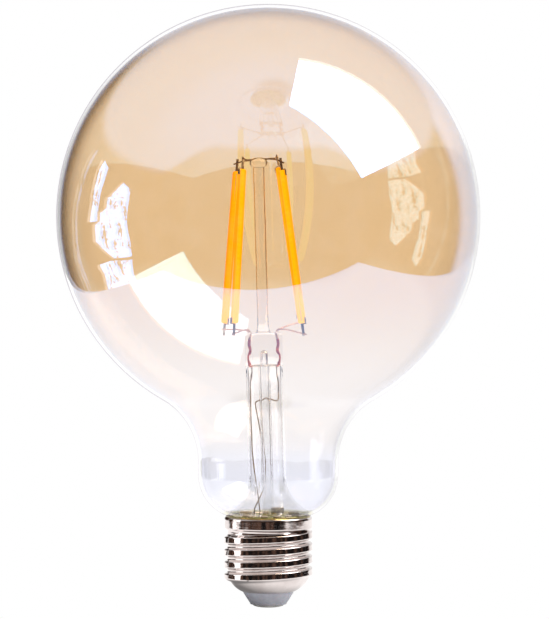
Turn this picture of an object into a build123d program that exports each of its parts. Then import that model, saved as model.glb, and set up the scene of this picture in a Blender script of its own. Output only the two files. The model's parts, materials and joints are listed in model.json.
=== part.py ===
from build123d import *
from math import sqrt
import os

# A smart filament light bulb, in millimetres. +Z points from the centre contact of the screw cap
# to the top of the globe. The origin is on the flat of the centre contact.

# Glass envelope, as outer radii and heights.
OVERALL_HEIGHT = 178.0
GLOBE_RADIUS = 62.5
WAIST_RADIUS = 21.0
NECK_RADIUS = 20.6
BOWL_RADIUS = 13.0
BOWL_Z = 39.2
GLASS_WALL = 1.0
SKIRT_OUTER = 12.35
SKIRT_INNER = 11.45
SKIRT_BOTTOM = 24.4

# Screw cap, size E27.
RIM_Z = 27.1
CAP_WALL = 0.35
COLLAR_RADIUS = 13.0
COLLAR_BOTTOM = 23.1
ROOT_RADIUS = 12.13
ROOT_TOP = 22.1
THREAD_PITCH = 3.629
THREAD_TURNS = 4
THREAD_BOTTOM = 8.08
RIDGE_RADIUS = 1.0
RIDGE_CENTRE = 12.1
DISH_CENTRE = (4.6, 12.3)
DISH_RADIUS = 8.29
DISH_LIP = 7.6
FIT_GAP = 0.1

# Insulator and centre contact.
INSULATOR_TOP = 7.6
INSULATOR_FLANGE = 9.8
INSULATOR_FOOT = 5.05
CONTACT_DISC = 4.6
CONTACT_FLAT = 2.5
CONTACT_THICKNESS = 0.85
CONTACT_PIN = 1.2
CONTACT_PIN_TOP = 8.2

# Glass stem. It is built upright and then leans to -X about a point on its seal.
STEM_LEAN = -1.6
LEAN_POINT = (-0.2, 0.0, 27.9)
TUBE_RADIUS = 5.5
TUBE_WALL = 0.8
FLARE_RADIUS = 12.0
FLARE_EDGE = 11.9
FLARE_EDGE_TOP = 28.05
PRESS_BOTTOM = 73.0
PRESS_TOP = 81.2
PRESS_HALF_THICKNESS = 2.1
SQUEEZE_BOTTOM = 66.0
TUBE_CLOSED_AT = 71.6
EXHAUST_RADIUS = 1.7
EXHAUST_BORE = 1.1
EXHAUST_TOP = 76.4
EXHAUST_TIP = 24.4
BLOW_HOLE_RADIUS = 0.8
BLOW_HOLE_Z = 75.0
ROD_RADIUS = 1.65
ROD_BOTTOM = 79.0
ROD_TOP = 130.9
BEAD_RADIUS = 2.65
BEAD_BOTTOM = 129.9
BEAD_TOP = 132.8

# Wires.
WIRE_RADIUS = 0.22
THIN_WIRE_RADIUS = 0.18
LEAD_X = 4.2
DUMET_BOTTOM = 71.0
DUMET_TOP = 79.4
LEAD_BEND_Z = 82.5
LEAD_OVERHANG = 1.1
SUPPORT_BEND = 1.0
LEAD_BEND = 0.8
OUTER_LEAD_BEND = 1.0
# The way of each outer lead from its seal to the board, past the exhaust tube.
LEFT_ROUTE = [(-4.35, -0.3, 56.0), (-4.2, -0.6, 46.5), (-3.7, -1.3, 41.0), (-2.9, -2.6, 33.5)]
RIGHT_ROUTE = [
    (4.0, 0.6, 60.5),
    (0.5, 2.7, 61.8),
    (-3.2, 1.9, 60.6),
    (-2.2, 2.2, 54.8),
    (-0.7, 2.6, 43.0),
    (-1.3, 2.5, 34.5),
]

# Filaments. Each runs from its top end to a foot point given in plan.
FILAMENT_LENGTH = 45.5
FILAMENT_WIDTH = 2.3
FILAMENT_THICKNESS = 1.5
STRIP_WIDTH = 0.9
STRIP_THICKNESS = 0.4
STRIP_LENGTH = 44.0
CHIP_COUNT = 28
CHIP_WIDTH = 0.5
CHIP_LENGTH = 0.9
CHIP_HEIGHT = 0.2
TAB_LENGTH = 3.7
TAB_WIDTH = 0.8
TAB_THICKNESS = 0.3
PRONG_LENGTH = 1.6
PRONG_WIDTH = 0.35
PRONG_DEPTH = 1.3
PRONG_PROUD = 0.05
FILAMENTS = {
    "back_left": {"top": (-6.4, 4.2, 128.8), "foot": (-11.65, 8.46), "side": 1},
    "front_left": {"top": (-4.4, -6.2, 129.8), "foot": (-8.5, -11.6), "side": 1},
    "back_right": {"top": (5.6, 5.0, 129.6), "foot": (11.65, 8.46), "side": -1},
    "front_right": {"top": (6.6, -4.2, 129.1), "foot": (11.65, -8.46), "side": -1},
}
# How far past the coating's end each wire meets the tab.
TOP_WELD = {"back_left": 2.2, "front_left": 3.0, "back_right": 3.4, "front_right": 2.5}
FOOT_WELD = {"back_left": 1.8, "front_left": 3.1, "back_right": 1.0, "front_right": 3.1}

# Driver board and what stands on it.
BOARD_RADIUS = 11.2
BOARD_TOP = 27.0
BOARD_BOTTOM = 26.0
BOARD_HOLE = 3.0
PIN_RADIUS = 0.3
PIN_TOP = 27.5
SOLDER_FOOT = 0.8
SOLDER_HEIGHT = 0.55
CAPACITOR_AT = (-6.4, 0.6)
CAPACITOR_RADIUS = 3.85
CAPACITOR_BOTTOM = 12.8
CAPACITOR_TOP = 24.8
CAPACITOR_PIN_SPACING = 2.5
SLEEVE_WALL = 0.2
CAN_WALL = 0.3
BUNG_BOTTOM = 22.8
INDUCTOR_AT = (5.4, 4.6)
INDUCTOR_RADIUS = 3.1
INDUCTOR_HUB = 1.4
INDUCTOR_BOTTOM = 16.6
INDUCTOR_TOP = 24.6
INDUCTOR_PIN_SPACING = 3.8
FLANGE_THICKNESS = 1.0
WINDING_RADIUS = 2.7
RESISTOR_AT = (3.0, -2.8)
RESISTOR_RADIUS = 1.2
RESISTOR_BOTTOM = 13.0
RESISTOR_TOP = 20.0
FILM_AT = (-2.4, 7.4)
FILM_PIN_SPACING = 4.0
FILM_LENGTH = 6.0
FILM_DEPTH = 3.0
FILM_HEIGHT = 6.5
FILM_GAP = 0.5
MODULE_X = (-3.0, 7.0)
MODULE_Y = (-7.4, -6.6)
MODULE_BOTTOM = 12.0
MODULE_MIDDLE = (MODULE_X[0] + MODULE_X[1]) / 2
SHIELD_WALL = 0.2
SHIELD_X = (MODULE_X[0] + 1.0, MODULE_X[1] - 1.0)
SHIELD_Z = (13.5, 20.5)
SHIELD_DEPTH = 1.7
RADIO_CHIP_HALF = 2.5
RADIO_CHIP_Z = (14.5, 19.5)
RADIO_CHIP_DEPTH = 0.9
ANTENNA_HALF = 2.6
ANTENNA_Z = (22.4, 24.4)
ANTENNA_DEPTH = 1.0
MODULE_PIN_HALF = 0.25
MODULE_PIN_BOTTOM = 24.0
MODULE_PIN_PLACES = (-4.0, -2.0, 0.0, 2.0, 4.0)
LANDING_Z = BOARD_TOP + 0.1
LEFT_LANDING = (-2.5, -3.1)
RIGHT_LANDING = (-4.1, -1.4)
SHELL_LANDING = (9.35, -5.4)
# The weld of the shell's lead lies midway between two ridges of the thread.
SHELL_WELD_Z = THREAD_BOTTOM + THREAD_PITCH * (240 / 360 + 2.5)
WIRE_TURN = 0.6
CONTACT_LEAD_Z = (10.2, 11.2)

# Parts on top of the board, as a value pair on each axis or as places.
RECTIFIER = ((0.8, 4.6), (5.9, 7.9), (BOARD_TOP + 0.2, BOARD_TOP + 1.9))
RECTIFIER_LEG_X = (1.5, 3.9)
RECTIFIER_LEG_Y = ((5.6, 6.6), (7.2, 8.2))
RECTIFIER_LEG_HALF = 0.35
RECTIFIER_LEG_HEIGHT = 0.2
CHIP = ((6.1, 9.0), (-2.2, 2.2), (BOARD_TOP + 0.15, BOARD_TOP + 1.2))
CHIP_LEG_X = ((5.4, 6.3), (8.8, 9.7))
CHIP_LEG_Y = (-1.8, -0.6, 0.6, 1.8)
CHIP_LEG_HALF = 0.2
CHIP_LEG_HEIGHT = 0.35
CERAMIC_BLOCKS = [
    ((-8.4, -4.8), (2.4, 4.8), (BOARD_TOP, BOARD_TOP + 1.1)),
    ((-1.7, 0.2), (4.9, 6.2), (BOARD_TOP, BOARD_TOP + 1.0)),
]
SMALL_PART = (2.0, 1.25, 0.6)
# Where each small part lies, and how far it is turned.
SMALL_PARTS = [(-6.6, -3.4, 0), (-5.4, -6.4, 50), (-1.2, -7.8, 0), (2.6, -7.4, 20), (5.8, -5.6, 60), (7.0, 6.8, 45)]


# Helpers.
def arc(centre, start, end):
    """The shorter arc about centre from start to end."""
    a = Vector(*start) - Vector(*centre)
    b = Vector(*end) - Vector(*centre)
    middle = Vector(*centre) + (a + b).normalized() * a.length
    return ThreePointArc(start, (middle.X, middle.Y), end)


def turned(*outline):
    """The solid that a closed (radius, height) outline makes as it turns about the Z axis."""
    return revolve(Plane.XZ * make_face(list(outline)), Axis.Z)


def post(radius, low, high, at=(0.0, 0.0)):
    """An upright cylinder between two heights."""
    return Pos(at[0], at[1], (low + high) / 2) * Cylinder(radius, high - low)


def block(x, y, z):
    """A box between two values on each axis."""
    middle = [(pair[0] + pair[1]) / 2 for pair in (x, y, z)]
    return Pos(*middle) * Box(x[1] - x[0], y[1] - y[0], z[1] - z[0])


def bent_wire(points, radius, bend):
    """A round wire along straight runs joined by arcs of one radius."""
    path = FilletPolyline(*points, radius=bend) if len(points) > 2 else Line(*points)
    return sweep(Plane(path @ 0, z_dir=path % 0) * Circle(radius), path)


def lean(solid):
    """Tilts a piece of the upright stem to the angle the stem stands at."""
    return Pos(*LEAN_POINT) * Rot(0, STEM_LEAN, 0) * Pos(*[-value for value in LEAN_POINT]) * solid


def pin_places(at, spacing):
    """Two pin places, side by side along X."""
    return [(at[0] - spacing / 2, at[1]), (at[0] + spacing / 2, at[1])]


# Envelope.
def bulb_line(inset, skirt):
    """One side of the glass wall from the top of the globe down to the skirt, as joined edges."""
    globe_z = OVERALL_HEIGHT - GLOBE_RADIUS
    waist_r = NECK_RADIUS + WAIST_RADIUS
    reach = GLOBE_RADIUS + WAIST_RADIUS
    waist_z = globe_z - sqrt(reach**2 - waist_r**2)
    share = (WAIST_RADIUS + inset) / reach
    joint = (waist_r * (1 - share), waist_z + (globe_z - waist_z) * share)
    neck = NECK_RADIUS - inset
    bowl_r = NECK_RADIUS - BOWL_RADIUS
    bowl_end = BOWL_Z - sqrt((BOWL_RADIUS - inset) ** 2 - (skirt - bowl_r) ** 2)
    return [
        arc((0, globe_z), (0, OVERALL_HEIGHT - inset), joint),
        arc((waist_r, waist_z), joint, (neck, waist_z)),
        Line((neck, waist_z), (neck, BOWL_Z)),
        arc((bowl_r, BOWL_Z), (neck, BOWL_Z), (skirt, bowl_end)),
        Line((skirt, bowl_end), (skirt, SKIRT_BOTTOM)),
    ]


def glass_globe():
    outside = bulb_line(0.0, SKIRT_OUTER)
    inside = bulb_line(GLASS_WALL, SKIRT_INNER)
    foot = Line((SKIRT_OUTER, SKIRT_BOTTOM), (SKIRT_INNER, SKIRT_BOTTOM))
    crown = Line((0, OVERALL_HEIGHT - GLASS_WALL), (0, OVERALL_HEIGHT))
    return turned(*outside, foot, *inside, crown)


# Stem. These pieces are upright, and lean() tilts them.
def pressed(radius, half_thickness, low, high):
    """A round bar that is squeezed flat across Y from the squeeze's start to the press."""
    wedge = Polyline(
        (-radius, low),
        (-radius, SQUEEZE_BOTTOM),
        (-half_thickness, PRESS_BOTTOM),
        (-half_thickness, high),
        (half_thickness, high),
        (half_thickness, PRESS_BOTTOM),
        (radius, SQUEEZE_BOTTOM),
        (radius, low),
        close=True,
    )
    plate = extrude(Plane.YZ * make_face(wedge), 2 * radius, both=True)
    return post(radius, low, high) & plate


def flare():
    """The trumpet-shaped foot of the stem tube, which is fused to the globe's skirt."""
    centre_r = TUBE_RADIUS + FLARE_RADIUS
    offset = centre_r - FLARE_EDGE
    centre_z = FLARE_EDGE_TOP + sqrt(FLARE_RADIUS**2 - offset**2)
    under = FLARE_RADIUS + TUBE_WALL
    under_z = centre_z - sqrt(under**2 - offset**2)
    bore = TUBE_RADIUS - TUBE_WALL
    low = turned(
        arc((centre_r, centre_z), (TUBE_RADIUS, centre_z), (FLARE_EDGE, FLARE_EDGE_TOP)),
        Line((FLARE_EDGE, FLARE_EDGE_TOP), (FLARE_EDGE, under_z)),
        arc((centre_r, centre_z), (FLARE_EDGE, under_z), (bore, centre_z)),
        Line((bore, centre_z), (TUBE_RADIUS, centre_z)),
    )
    return low, centre_z


def exhaust_blank(radius):
    """The exhaust tube filled solid to one radius, with its round sealed tip."""
    tip = EXHAUST_TIP + EXHAUST_RADIUS - radius
    return turned(
        arc((0, tip + radius), (0, tip), (radius, tip + radius)),
        Line((radius, tip + radius), (radius, EXHAUST_TOP)),
        Line((radius, EXHAUST_TOP), (0, EXHAUST_TOP)),
        Line((0, EXHAUST_TOP), (0, tip)),
    )


def blow_hole():
    """The hole through the front of the press that opens the exhaust tube to the globe."""
    return Pos(0, -PRESS_HALF_THICKNESS, BLOW_HOLE_Z) * Rot(90, 0, 0) * Cylinder(
        BLOW_HOLE_RADIUS, 2 * PRESS_HALF_THICKNESS
    )


def exhaust_tube():
    return exhaust_blank(EXHAUST_RADIUS) - exhaust_blank(EXHAUST_BORE) - blow_hole()


def stem_rod():
    return post(ROD_RADIUS, ROD_BOTTOM, ROD_TOP)


def stem_tube(buried):
    """Flare, tube and flat press in one glass piece, with a pocket for each piece it is pressed onto."""
    foot, tube_bottom = flare()
    bore = TUBE_RADIUS - TUBE_WALL
    outside = pressed(TUBE_RADIUS, PRESS_HALF_THICKNESS, tube_bottom, PRESS_TOP)
    inside = pressed(bore, PRESS_HALF_THICKNESS - TUBE_WALL, tube_bottom, TUBE_CLOSED_AT)
    tube = foot + (outside - inside) - exhaust_blank(EXHAUST_RADIUS) - stem_rod() - blow_hole()
    for piece in buried:
        tube = tube - piece
    return tube


def top_bead(buried):
    """The glass button on top of the rod, with the support wires sunk into it."""
    bead = post(BEAD_RADIUS, BEAD_BOTTOM, BEAD_TOP)
    bead = fillet(bead.edges(), (BEAD_TOP - BEAD_BOTTOM) * 0.4) - stem_rod()
    for piece in buried:
        bead = bead - piece
    return bead


# Filaments.
def filament_axis(name):
    """The lower end, upper end and upward direction of a filament's coating."""
    top = Vector(*FILAMENTS[name]["top"])
    x, y = FILAMENTS[name]["foot"]
    spread = (Vector(x, y) - Vector(top.X, top.Y)).length
    foot = Vector(x, y, top.Z - sqrt(FILAMENT_LENGTH**2 - spread**2))
    return foot, top, (top - foot).normalized()


def on_filament(name):
    """A plane at the coating's lower end: X across the filament, Y outwards, Z up along it."""
    foot, _, up = filament_axis(name)
    across = up.cross(Vector(foot.X, foot.Y, 0)).normalized() * -1
    return Plane(foot, x_dir=across, z_dir=up)


def weld_point(name, at_top, distance):
    """Where a wire meets a filament's tab, at a distance past the coating's end."""
    foot, top, up = filament_axis(name)
    return top + up * distance if at_top else foot - up * distance


def strip_blank():
    """The ceramic strip, centred in the coating."""
    low = (FILAMENT_LENGTH - STRIP_LENGTH) / 2
    half = STRIP_THICKNESS / 2
    return block((-STRIP_WIDTH / 2, STRIP_WIDTH / 2), (-half, half), (low, low + STRIP_LENGTH))


def chip_blanks():
    """The row of light-emitting chips on the outward face of the strip."""
    step = (STRIP_LENGTH - 2 * PRONG_LENGTH) / CHIP_COUNT
    start = FILAMENT_LENGTH / 2 - step * (CHIP_COUNT - 1) / 2
    chip = Box(CHIP_WIDTH, CHIP_HEIGHT, CHIP_LENGTH)
    y = (STRIP_THICKNESS + CHIP_HEIGHT) / 2
    return [Pos(0, y, start + step * number) * chip for number in range(CHIP_COUNT)]


def tab_blanks(side):
    """The two end tabs: a strip past the coating's end, a shoulder on it and a clip round the bar's side."""
    outer = FILAMENT_WIDTH / 2 + PRONG_PROUD
    edges = sorted((side * outer, side * (outer - PRONG_WIDTH)))
    shoulder = sorted((side * outer, -side * TAB_WIDTH / 2))
    y = (-TAB_THICKNESS / 2, TAB_THICKNESS / 2)
    tab = block((-TAB_WIDTH / 2, TAB_WIDTH / 2), y, (-TAB_LENGTH, 0))
    tab += block(shoulder, y, (-TAB_THICKNESS, 0))
    tab += block(edges, (-PRONG_DEPTH / 2, PRONG_DEPTH / 2), (-TAB_THICKNESS, PRONG_LENGTH))
    return [tab, Pos(0, 0, FILAMENT_LENGTH) * mirror(tab, Plane.XY)]


def coating_blank():
    """The phosphor coating, a rounded bar with rounded ends."""
    bar = extrude(SlotOverall(FILAMENT_WIDTH, FILAMENT_THICKNESS), FILAMENT_LENGTH)
    ends = bar.faces().filter_by(Axis.Z).edges()
    return fillet(ends, FILAMENT_THICKNESS * 0.3)


def filament(name):
    """The coating, strip, chips and tabs of one filament, in its place on the upright stem."""
    place = on_filament(name)
    chips = chip_blanks()
    tabs = tab_blanks(FILAMENTS[name]["side"])
    coating = coating_blank() - strip_blank()
    for piece in chips + tabs:
        coating = coating - piece
    return {
        f"filament_coating_{name}": [place * coating],
        f"filament_strip_{name}": [place * strip_blank()],
        f"filament_chips_{name}": [place * chip for chip in chips],
        f"filament_tabs_{name}": [place * tab for tab in tabs],
    }


# Wires of the stem, upright.
def support_wire(left, right, y_in_bead, z_in_bead):
    """A bent wire through the top bead, from one left filament to one right filament."""
    start = weld_point(left, True, TOP_WELD[left])
    end = weld_point(right, True, TOP_WELD[right])
    points = [
        start + Vector(-0.5, 0.5 * y_in_bead, -0.2),
        start + Vector(2.0, -1.5 * y_in_bead, 0.3),
        Vector(-1.3, y_in_bead, z_in_bead),
        Vector(1.3, y_in_bead, z_in_bead),
        end + Vector(-1.9, -1.4 * y_in_bead, 0.1),
        end + Vector(0.5, 0.4 * y_in_bead, -0.1),
    ]
    return bent_wire(points, WIRE_RADIUS, SUPPORT_BEND)


def inner_lead(side, front):
    """The lead that rises from the press and bends out to the front filament."""
    end = weld_point(front, False, FOOT_WELD[front])
    bend = Vector(side * LEAD_X, 0, LEAD_BEND_Z)
    out = (end - bend).normalized()
    points = [Vector(side * LEAD_X, 0, DUMET_TOP), bend, end + out * LEAD_OVERHANG]
    return bent_wire(points, WIRE_RADIUS, LEAD_BEND)


def side_wire(side, back):
    """The wire that is welded to the inner lead's bend and runs to the back filament."""
    end = weld_point(back, False, FOOT_WELD[back])
    start = Vector(side * (LEAD_X + 0.2), 2 * WIRE_RADIUS, LEAD_BEND_Z - 0.3)
    out = (end - start).normalized()
    return bent_wire([start, end + out * LEAD_OVERHANG], WIRE_RADIUS, LEAD_BEND)


def dumet_wire(side):
    """The copper-clad length of the lead that the glass of the press is sealed onto."""
    return post(WIRE_RADIUS, DUMET_BOTTOM, DUMET_TOP, (side * LEAD_X, 0))


def outer_lead(side, route, landing, low):
    """The thin lead that runs down inside the stem tube to the board."""
    x, y = landing
    points = [(side * LEAD_X, 0, DUMET_BOTTOM), *route, (x, y, BOARD_TOP + 2.2), (x, y, low)]
    return bent_wire(points, THIN_WIRE_RADIUS, OUTER_LEAD_BEND)


# Screw cap.
def dish_z(radius, r):
    """The height of the cap's dish, or of a face concentric with it, at radius r."""
    return DISH_CENTRE[1] - sqrt(radius**2 - (r - DISH_CENTRE[0]) ** 2)


def cap_line(inset):
    """One side of the cap's metal from the rim down to the lip, without the thread."""
    collar = COLLAR_RADIUS - inset
    root = ROOT_RADIUS - inset
    dish = DISH_RADIUS - inset
    dish_top = dish_z(dish, root)
    lip = dish_z(dish, DISH_LIP)
    return [
        Polyline((collar, RIM_Z), (collar, COLLAR_BOTTOM), (root, ROOT_TOP), (root, dish_top)),
        arc(DISH_CENTRE, (root, dish_top), (DISH_LIP, lip)),
    ]


def cap_blank(inset):
    """The cap filled solid to one side of its metal, with the helical ridge of its thread."""
    dish = DISH_RADIUS - inset
    collar = COLLAR_RADIUS - inset
    body = turned(
        *cap_line(inset),
        Line((DISH_LIP, dish_z(dish, DISH_LIP)), (0, dish_z(dish, DISH_LIP))),
        Line((0, dish_z(dish, DISH_LIP)), (0, RIM_Z)),
        Line((0, RIM_Z), (collar, RIM_Z)),
    )
    path = Helix(THREAD_PITCH, THREAD_PITCH * THREAD_TURNS, RIDGE_CENTRE)
    section = Plane(path @ 0, z_dir=path % 0) * Circle(RIDGE_RADIUS - inset)
    ridge = sweep(section, path, is_frenet=True)
    for end in (path @ 0, path @ 1):
        ridge += Pos(*end) * Sphere(RIDGE_RADIUS - inset)
    return body + Pos(0, 0, THREAD_BOTTOM) * Rot(0, 0, 90) * ridge


def screw_shell():
    opening = post(DISH_LIP, 0, BOARD_BOTTOM / 2)
    return cap_blank(0.0) - cap_blank(CAP_WALL) - opening


def base_insulator():
    """The moulded plug that closes the cap's small end and carries the centre contact."""
    seat = DISH_RADIUS - CAP_WALL - FIT_GAP
    waist = DISH_LIP - FIT_GAP
    hole = CONTACT_PIN + FIT_GAP
    cone_top = dish_z(DISH_RADIUS, DISH_LIP) - FIT_GAP
    outline = Polyline(
        (INSULATOR_FLANGE, dish_z(seat, INSULATOR_FLANGE)),
        (INSULATOR_FLANGE, INSULATOR_TOP),
        (hole, INSULATOR_TOP),
        (hole, CONTACT_THICKNESS),
        (INSULATOR_FOOT, CONTACT_THICKNESS),
        (waist, cone_top),
        (waist, dish_z(seat, waist)),
    )
    rest = arc(DISH_CENTRE, (waist, dish_z(seat, waist)), (INSULATOR_FLANGE, dish_z(seat, INSULATOR_FLANGE)))
    return turned(outline, rest)


def centre_contact():
    """The domed contact disc with its flat and the pin that holds it in the insulator."""
    edge = CONTACT_THICKNESS - 0.2
    middle = ((CONTACT_FLAT + CONTACT_DISC) / 2 + 0.2, edge / 2 - 0.12)
    return turned(
        Line((0, 0), (CONTACT_FLAT, 0)),
        ThreePointArc((CONTACT_FLAT, 0), middle, (CONTACT_DISC, edge)),
        Polyline(
            (CONTACT_DISC, edge),
            (CONTACT_DISC, CONTACT_THICKNESS),
            (CONTACT_PIN, CONTACT_THICKNESS),
            (CONTACT_PIN, CONTACT_PIN_TOP),
            (0, CONTACT_PIN_TOP),
            (0, 0),
        ),
    )


def cap_adhesive():
    """The ring of silicone that bonds the globe's skirt into the cap's collar."""
    low = COLLAR_BOTTOM + CAP_WALL
    high = RIM_Z - 0.2
    return post(COLLAR_RADIUS - CAP_WALL, low, high) - post(SKIRT_OUTER, low, high)


# Driver board and its parts.
def pins(at, spacing, low):
    """Two pins that rise through the board."""
    return [post(PIN_RADIUS, low, PIN_TOP, place) for place in pin_places(at, spacing)]


def board_pins():
    """Every pin that passes through the board, in one list for each part."""
    return {
        "capacitor_pins": pins(CAPACITOR_AT, CAPACITOR_PIN_SPACING, BUNG_BOTTOM),
        "inductor_pins": pins(INDUCTOR_AT, INDUCTOR_PIN_SPACING, INDUCTOR_TOP),
        "film_capacitor_pins": pins(FILM_AT, FILM_PIN_SPACING, BOARD_BOTTOM - FILM_GAP),
        "resistor_pin": [post(PIN_RADIUS, RESISTOR_TOP, PIN_TOP, RESISTOR_AT)],
    }


def shell_lead():
    """The wire from the board down to the inside of the screw shell, where it is welded."""
    x, y = SHELL_LANDING
    outward = Vector(x, y).normalized()
    wall = outward * (ROOT_RADIUS - CAP_WALL)
    points = [(x, y, PIN_TOP), (x, y, SHELL_WELD_Z), (wall.X, wall.Y, SHELL_WELD_Z)]
    return bent_wire(points, PIN_RADIUS, WIRE_TURN)


def contact_lead():
    """The wire from the centre contact's pin up to the fusible resistor."""
    x, y = RESISTOR_AT
    low, high = CONTACT_LEAD_Z
    points = [(0, 0, CONTACT_PIN_TOP), (0, 0, low), (x, y, high), (x, y, RESISTOR_BOTTOM)]
    return bent_wire(points, PIN_RADIUS, WIRE_TURN)


def driver_board(through):
    board = post(BOARD_RADIUS, BOARD_BOTTOM, BOARD_TOP) - post(BOARD_HOLE, BOARD_BOTTOM, BOARD_TOP)
    for piece in through:
        board = board - piece
    return board


def solder_joints(through, landings):
    """A cone of solder on the board round each pin and under each lead of the stem."""
    places = [(piece.center().X, piece.center().Y) for piece in through] + landings
    cones = []
    for x, y in places:
        cone = Pos(x, y, BOARD_TOP + SOLDER_HEIGHT / 2) * Cone(SOLDER_FOOT, PIN_RADIUS + 0.1, SOLDER_HEIGHT)
        for piece in through:
            cone = cone - piece
        cones.append(cone)
    return cones


def capacitor():
    """The electrolytic capacitor: can, roll, rubber bung and shrunk sleeve."""
    at = CAPACITOR_AT
    low, high = CAPACITOR_BOTTOM, CAPACITOR_TOP
    bore = CAPACITOR_RADIUS - CAN_WALL
    can = post(CAPACITOR_RADIUS, low, high, at) - post(bore, low + CAN_WALL, high, at)
    roll = post(bore - 0.2, low + CAN_WALL + 0.2, BUNG_BOTTOM - 0.2, at)
    bung = post(bore, BUNG_BOTTOM, high, at)
    for pin in pins(at, CAPACITOR_PIN_SPACING, BUNG_BOTTOM):
        bung = bung - pin
    around = CAPACITOR_RADIUS + SLEEVE_WALL
    sleeve = post(around, low - SLEEVE_WALL, high, at) - post(CAPACITOR_RADIUS, low, high, at)
    sleeve = sleeve - post(CAPACITOR_RADIUS - 0.9, low - SLEEVE_WALL, low, at)
    return {
        "capacitor_can": [can],
        "capacitor_roll": [roll],
        "capacitor_bung": [bung],
        "capacitor_sleeve": [sleeve],
    }


def inductor():
    """The drum-core inductor: ferrite drum and copper winding."""
    at = INDUCTOR_AT
    low, high = INDUCTOR_BOTTOM, INDUCTOR_TOP
    core = post(INDUCTOR_HUB, low, high, at)
    core += post(INDUCTOR_RADIUS, low, low + FLANGE_THICKNESS, at)
    core += post(INDUCTOR_RADIUS, high - FLANGE_THICKNESS, high, at)
    wound = (low + FLANGE_THICKNESS, high - FLANGE_THICKNESS)
    winding = post(WINDING_RADIUS, *wound, at) - post(INDUCTOR_HUB, *wound, at)
    return {"inductor_core": [core], "inductor_winding": [winding]}


def fusible_resistor():
    body = post(RESISTOR_RADIUS, RESISTOR_BOTTOM, RESISTOR_TOP, RESISTOR_AT)
    return fillet(body.edges(), 0.5)


def film_capacitor():
    x, y = FILM_AT
    high = BOARD_BOTTOM - FILM_GAP
    half, deep = FILM_LENGTH / 2, FILM_DEPTH / 2
    body = block((x - half, x + half), (y - deep, y + deep), (high - FILM_HEIGHT, high))
    return fillet(body.edges().filter_by(Axis.Z), 0.5)


def on_module(half, depth, z):
    """A block on the middle of the radio board's face."""
    face = MODULE_Y[1]
    return block((MODULE_MIDDLE - half, MODULE_MIDDLE + half), (face, face + depth), z)


def wireless_module():
    """The upright radio board with its shield can, chip, antenna and the pins that carry it."""
    face = MODULE_Y[1]
    board = block(MODULE_X, MODULE_Y, (MODULE_BOTTOM, BOARD_BOTTOM))
    outer = block(SHIELD_X, (face, face + SHIELD_DEPTH), SHIELD_Z)
    inner = block(
        (SHIELD_X[0] + SHIELD_WALL, SHIELD_X[1] - SHIELD_WALL),
        (face, face + SHIELD_DEPTH - SHIELD_WALL),
        (SHIELD_Z[0] + SHIELD_WALL, SHIELD_Z[1] - SHIELD_WALL),
    )
    rear = (MODULE_Y[0] - 2 * MODULE_PIN_HALF, MODULE_Y[0])
    carrying = [
        block((x - MODULE_PIN_HALF, x + MODULE_PIN_HALF), rear, (MODULE_PIN_BOTTOM, BOARD_BOTTOM))
        for x in [MODULE_MIDDLE + place for place in MODULE_PIN_PLACES]
    ]
    return {
        "wireless_board": [board],
        "wireless_shield": [outer - inner],
        "wireless_chip": [on_module(RADIO_CHIP_HALF, RADIO_CHIP_DEPTH, RADIO_CHIP_Z)],
        "wireless_antenna": [on_module(ANTENNA_HALF, ANTENNA_DEPTH, ANTENNA_Z)],
        "wireless_pins": carrying,
    }


def bridge_rectifier():
    """The four-legged rectifier block on the top of the board."""
    body = block(*RECTIFIER)
    for x in RECTIFIER_LEG_X:
        for y in RECTIFIER_LEG_Y:
            span = (x - RECTIFIER_LEG_HALF, x + RECTIFIER_LEG_HALF)
            body += block(span, y, (BOARD_TOP, BOARD_TOP + RECTIFIER_LEG_HEIGHT))
    return body


def driver_chip():
    """The eight-legged driver chip on the top of the board."""
    body = block(*CHIP)
    for x in CHIP_LEG_X:
        for y in CHIP_LEG_Y:
            span = (y - CHIP_LEG_HALF, y + CHIP_LEG_HALF)
            body += block(x, span, (BOARD_TOP, BOARD_TOP + CHIP_LEG_HEIGHT))
    return body


def ceramic_capacitors():
    """Light ceramic blocks on the top of the board."""
    return [block(*sides) for sides in CERAMIC_BLOCKS]


def chip_resistors():
    """Small surface resistors and diodes round the top of the board."""
    z = BOARD_TOP + SMALL_PART[2] / 2
    return [Pos(x, y, z) * Rot(0, 0, turn) * Box(*SMALL_PART) for x, y, turn in SMALL_PARTS]


# Assembly.
def stem_assembly():
    """Every upright piece of the stem, by node."""
    wires = {
        "support_wire_back": support_wire("back_left", "back_right", 0.8, 131.9),
        "support_wire_front": support_wire("front_left", "front_right", -0.8, 132.0),
        "inner_lead_left": inner_lead(-1, "front_left"),
        "inner_lead_right": inner_lead(1, "front_right"),
        "side_wire_left": side_wire(-1, "back_left"),
        "side_wire_right": side_wire(1, "back_right"),
        "dumet_wire_left": dumet_wire(-1),
        "dumet_wire_right": dumet_wire(1),
        "outer_lead_left": outer_lead(-1, LEFT_ROUTE, LEFT_LANDING, LANDING_Z + 0.1),
        "outer_lead_right": outer_lead(1, RIGHT_ROUTE, RIGHT_LANDING, LANDING_Z),
    }
    in_press = [wires[name] for name in wires if name.startswith(("inner_lead", "dumet_wire"))]
    in_bead = [wires["support_wire_back"], wires["support_wire_front"]]
    pieces = {name: [wire] for name, wire in wires.items()}
    pieces["stem_tube"] = [stem_tube(in_press)]
    pieces["exhaust_tube"] = [exhaust_tube()]
    pieces["stem_rod"] = [stem_rod()]
    pieces["top_bead"] = [top_bead(in_bead)]
    for name in FILAMENTS:
        pieces.update(filament(name))
    return {node: [lean(solid) for solid in solids] for node, solids in pieces.items()}


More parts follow.
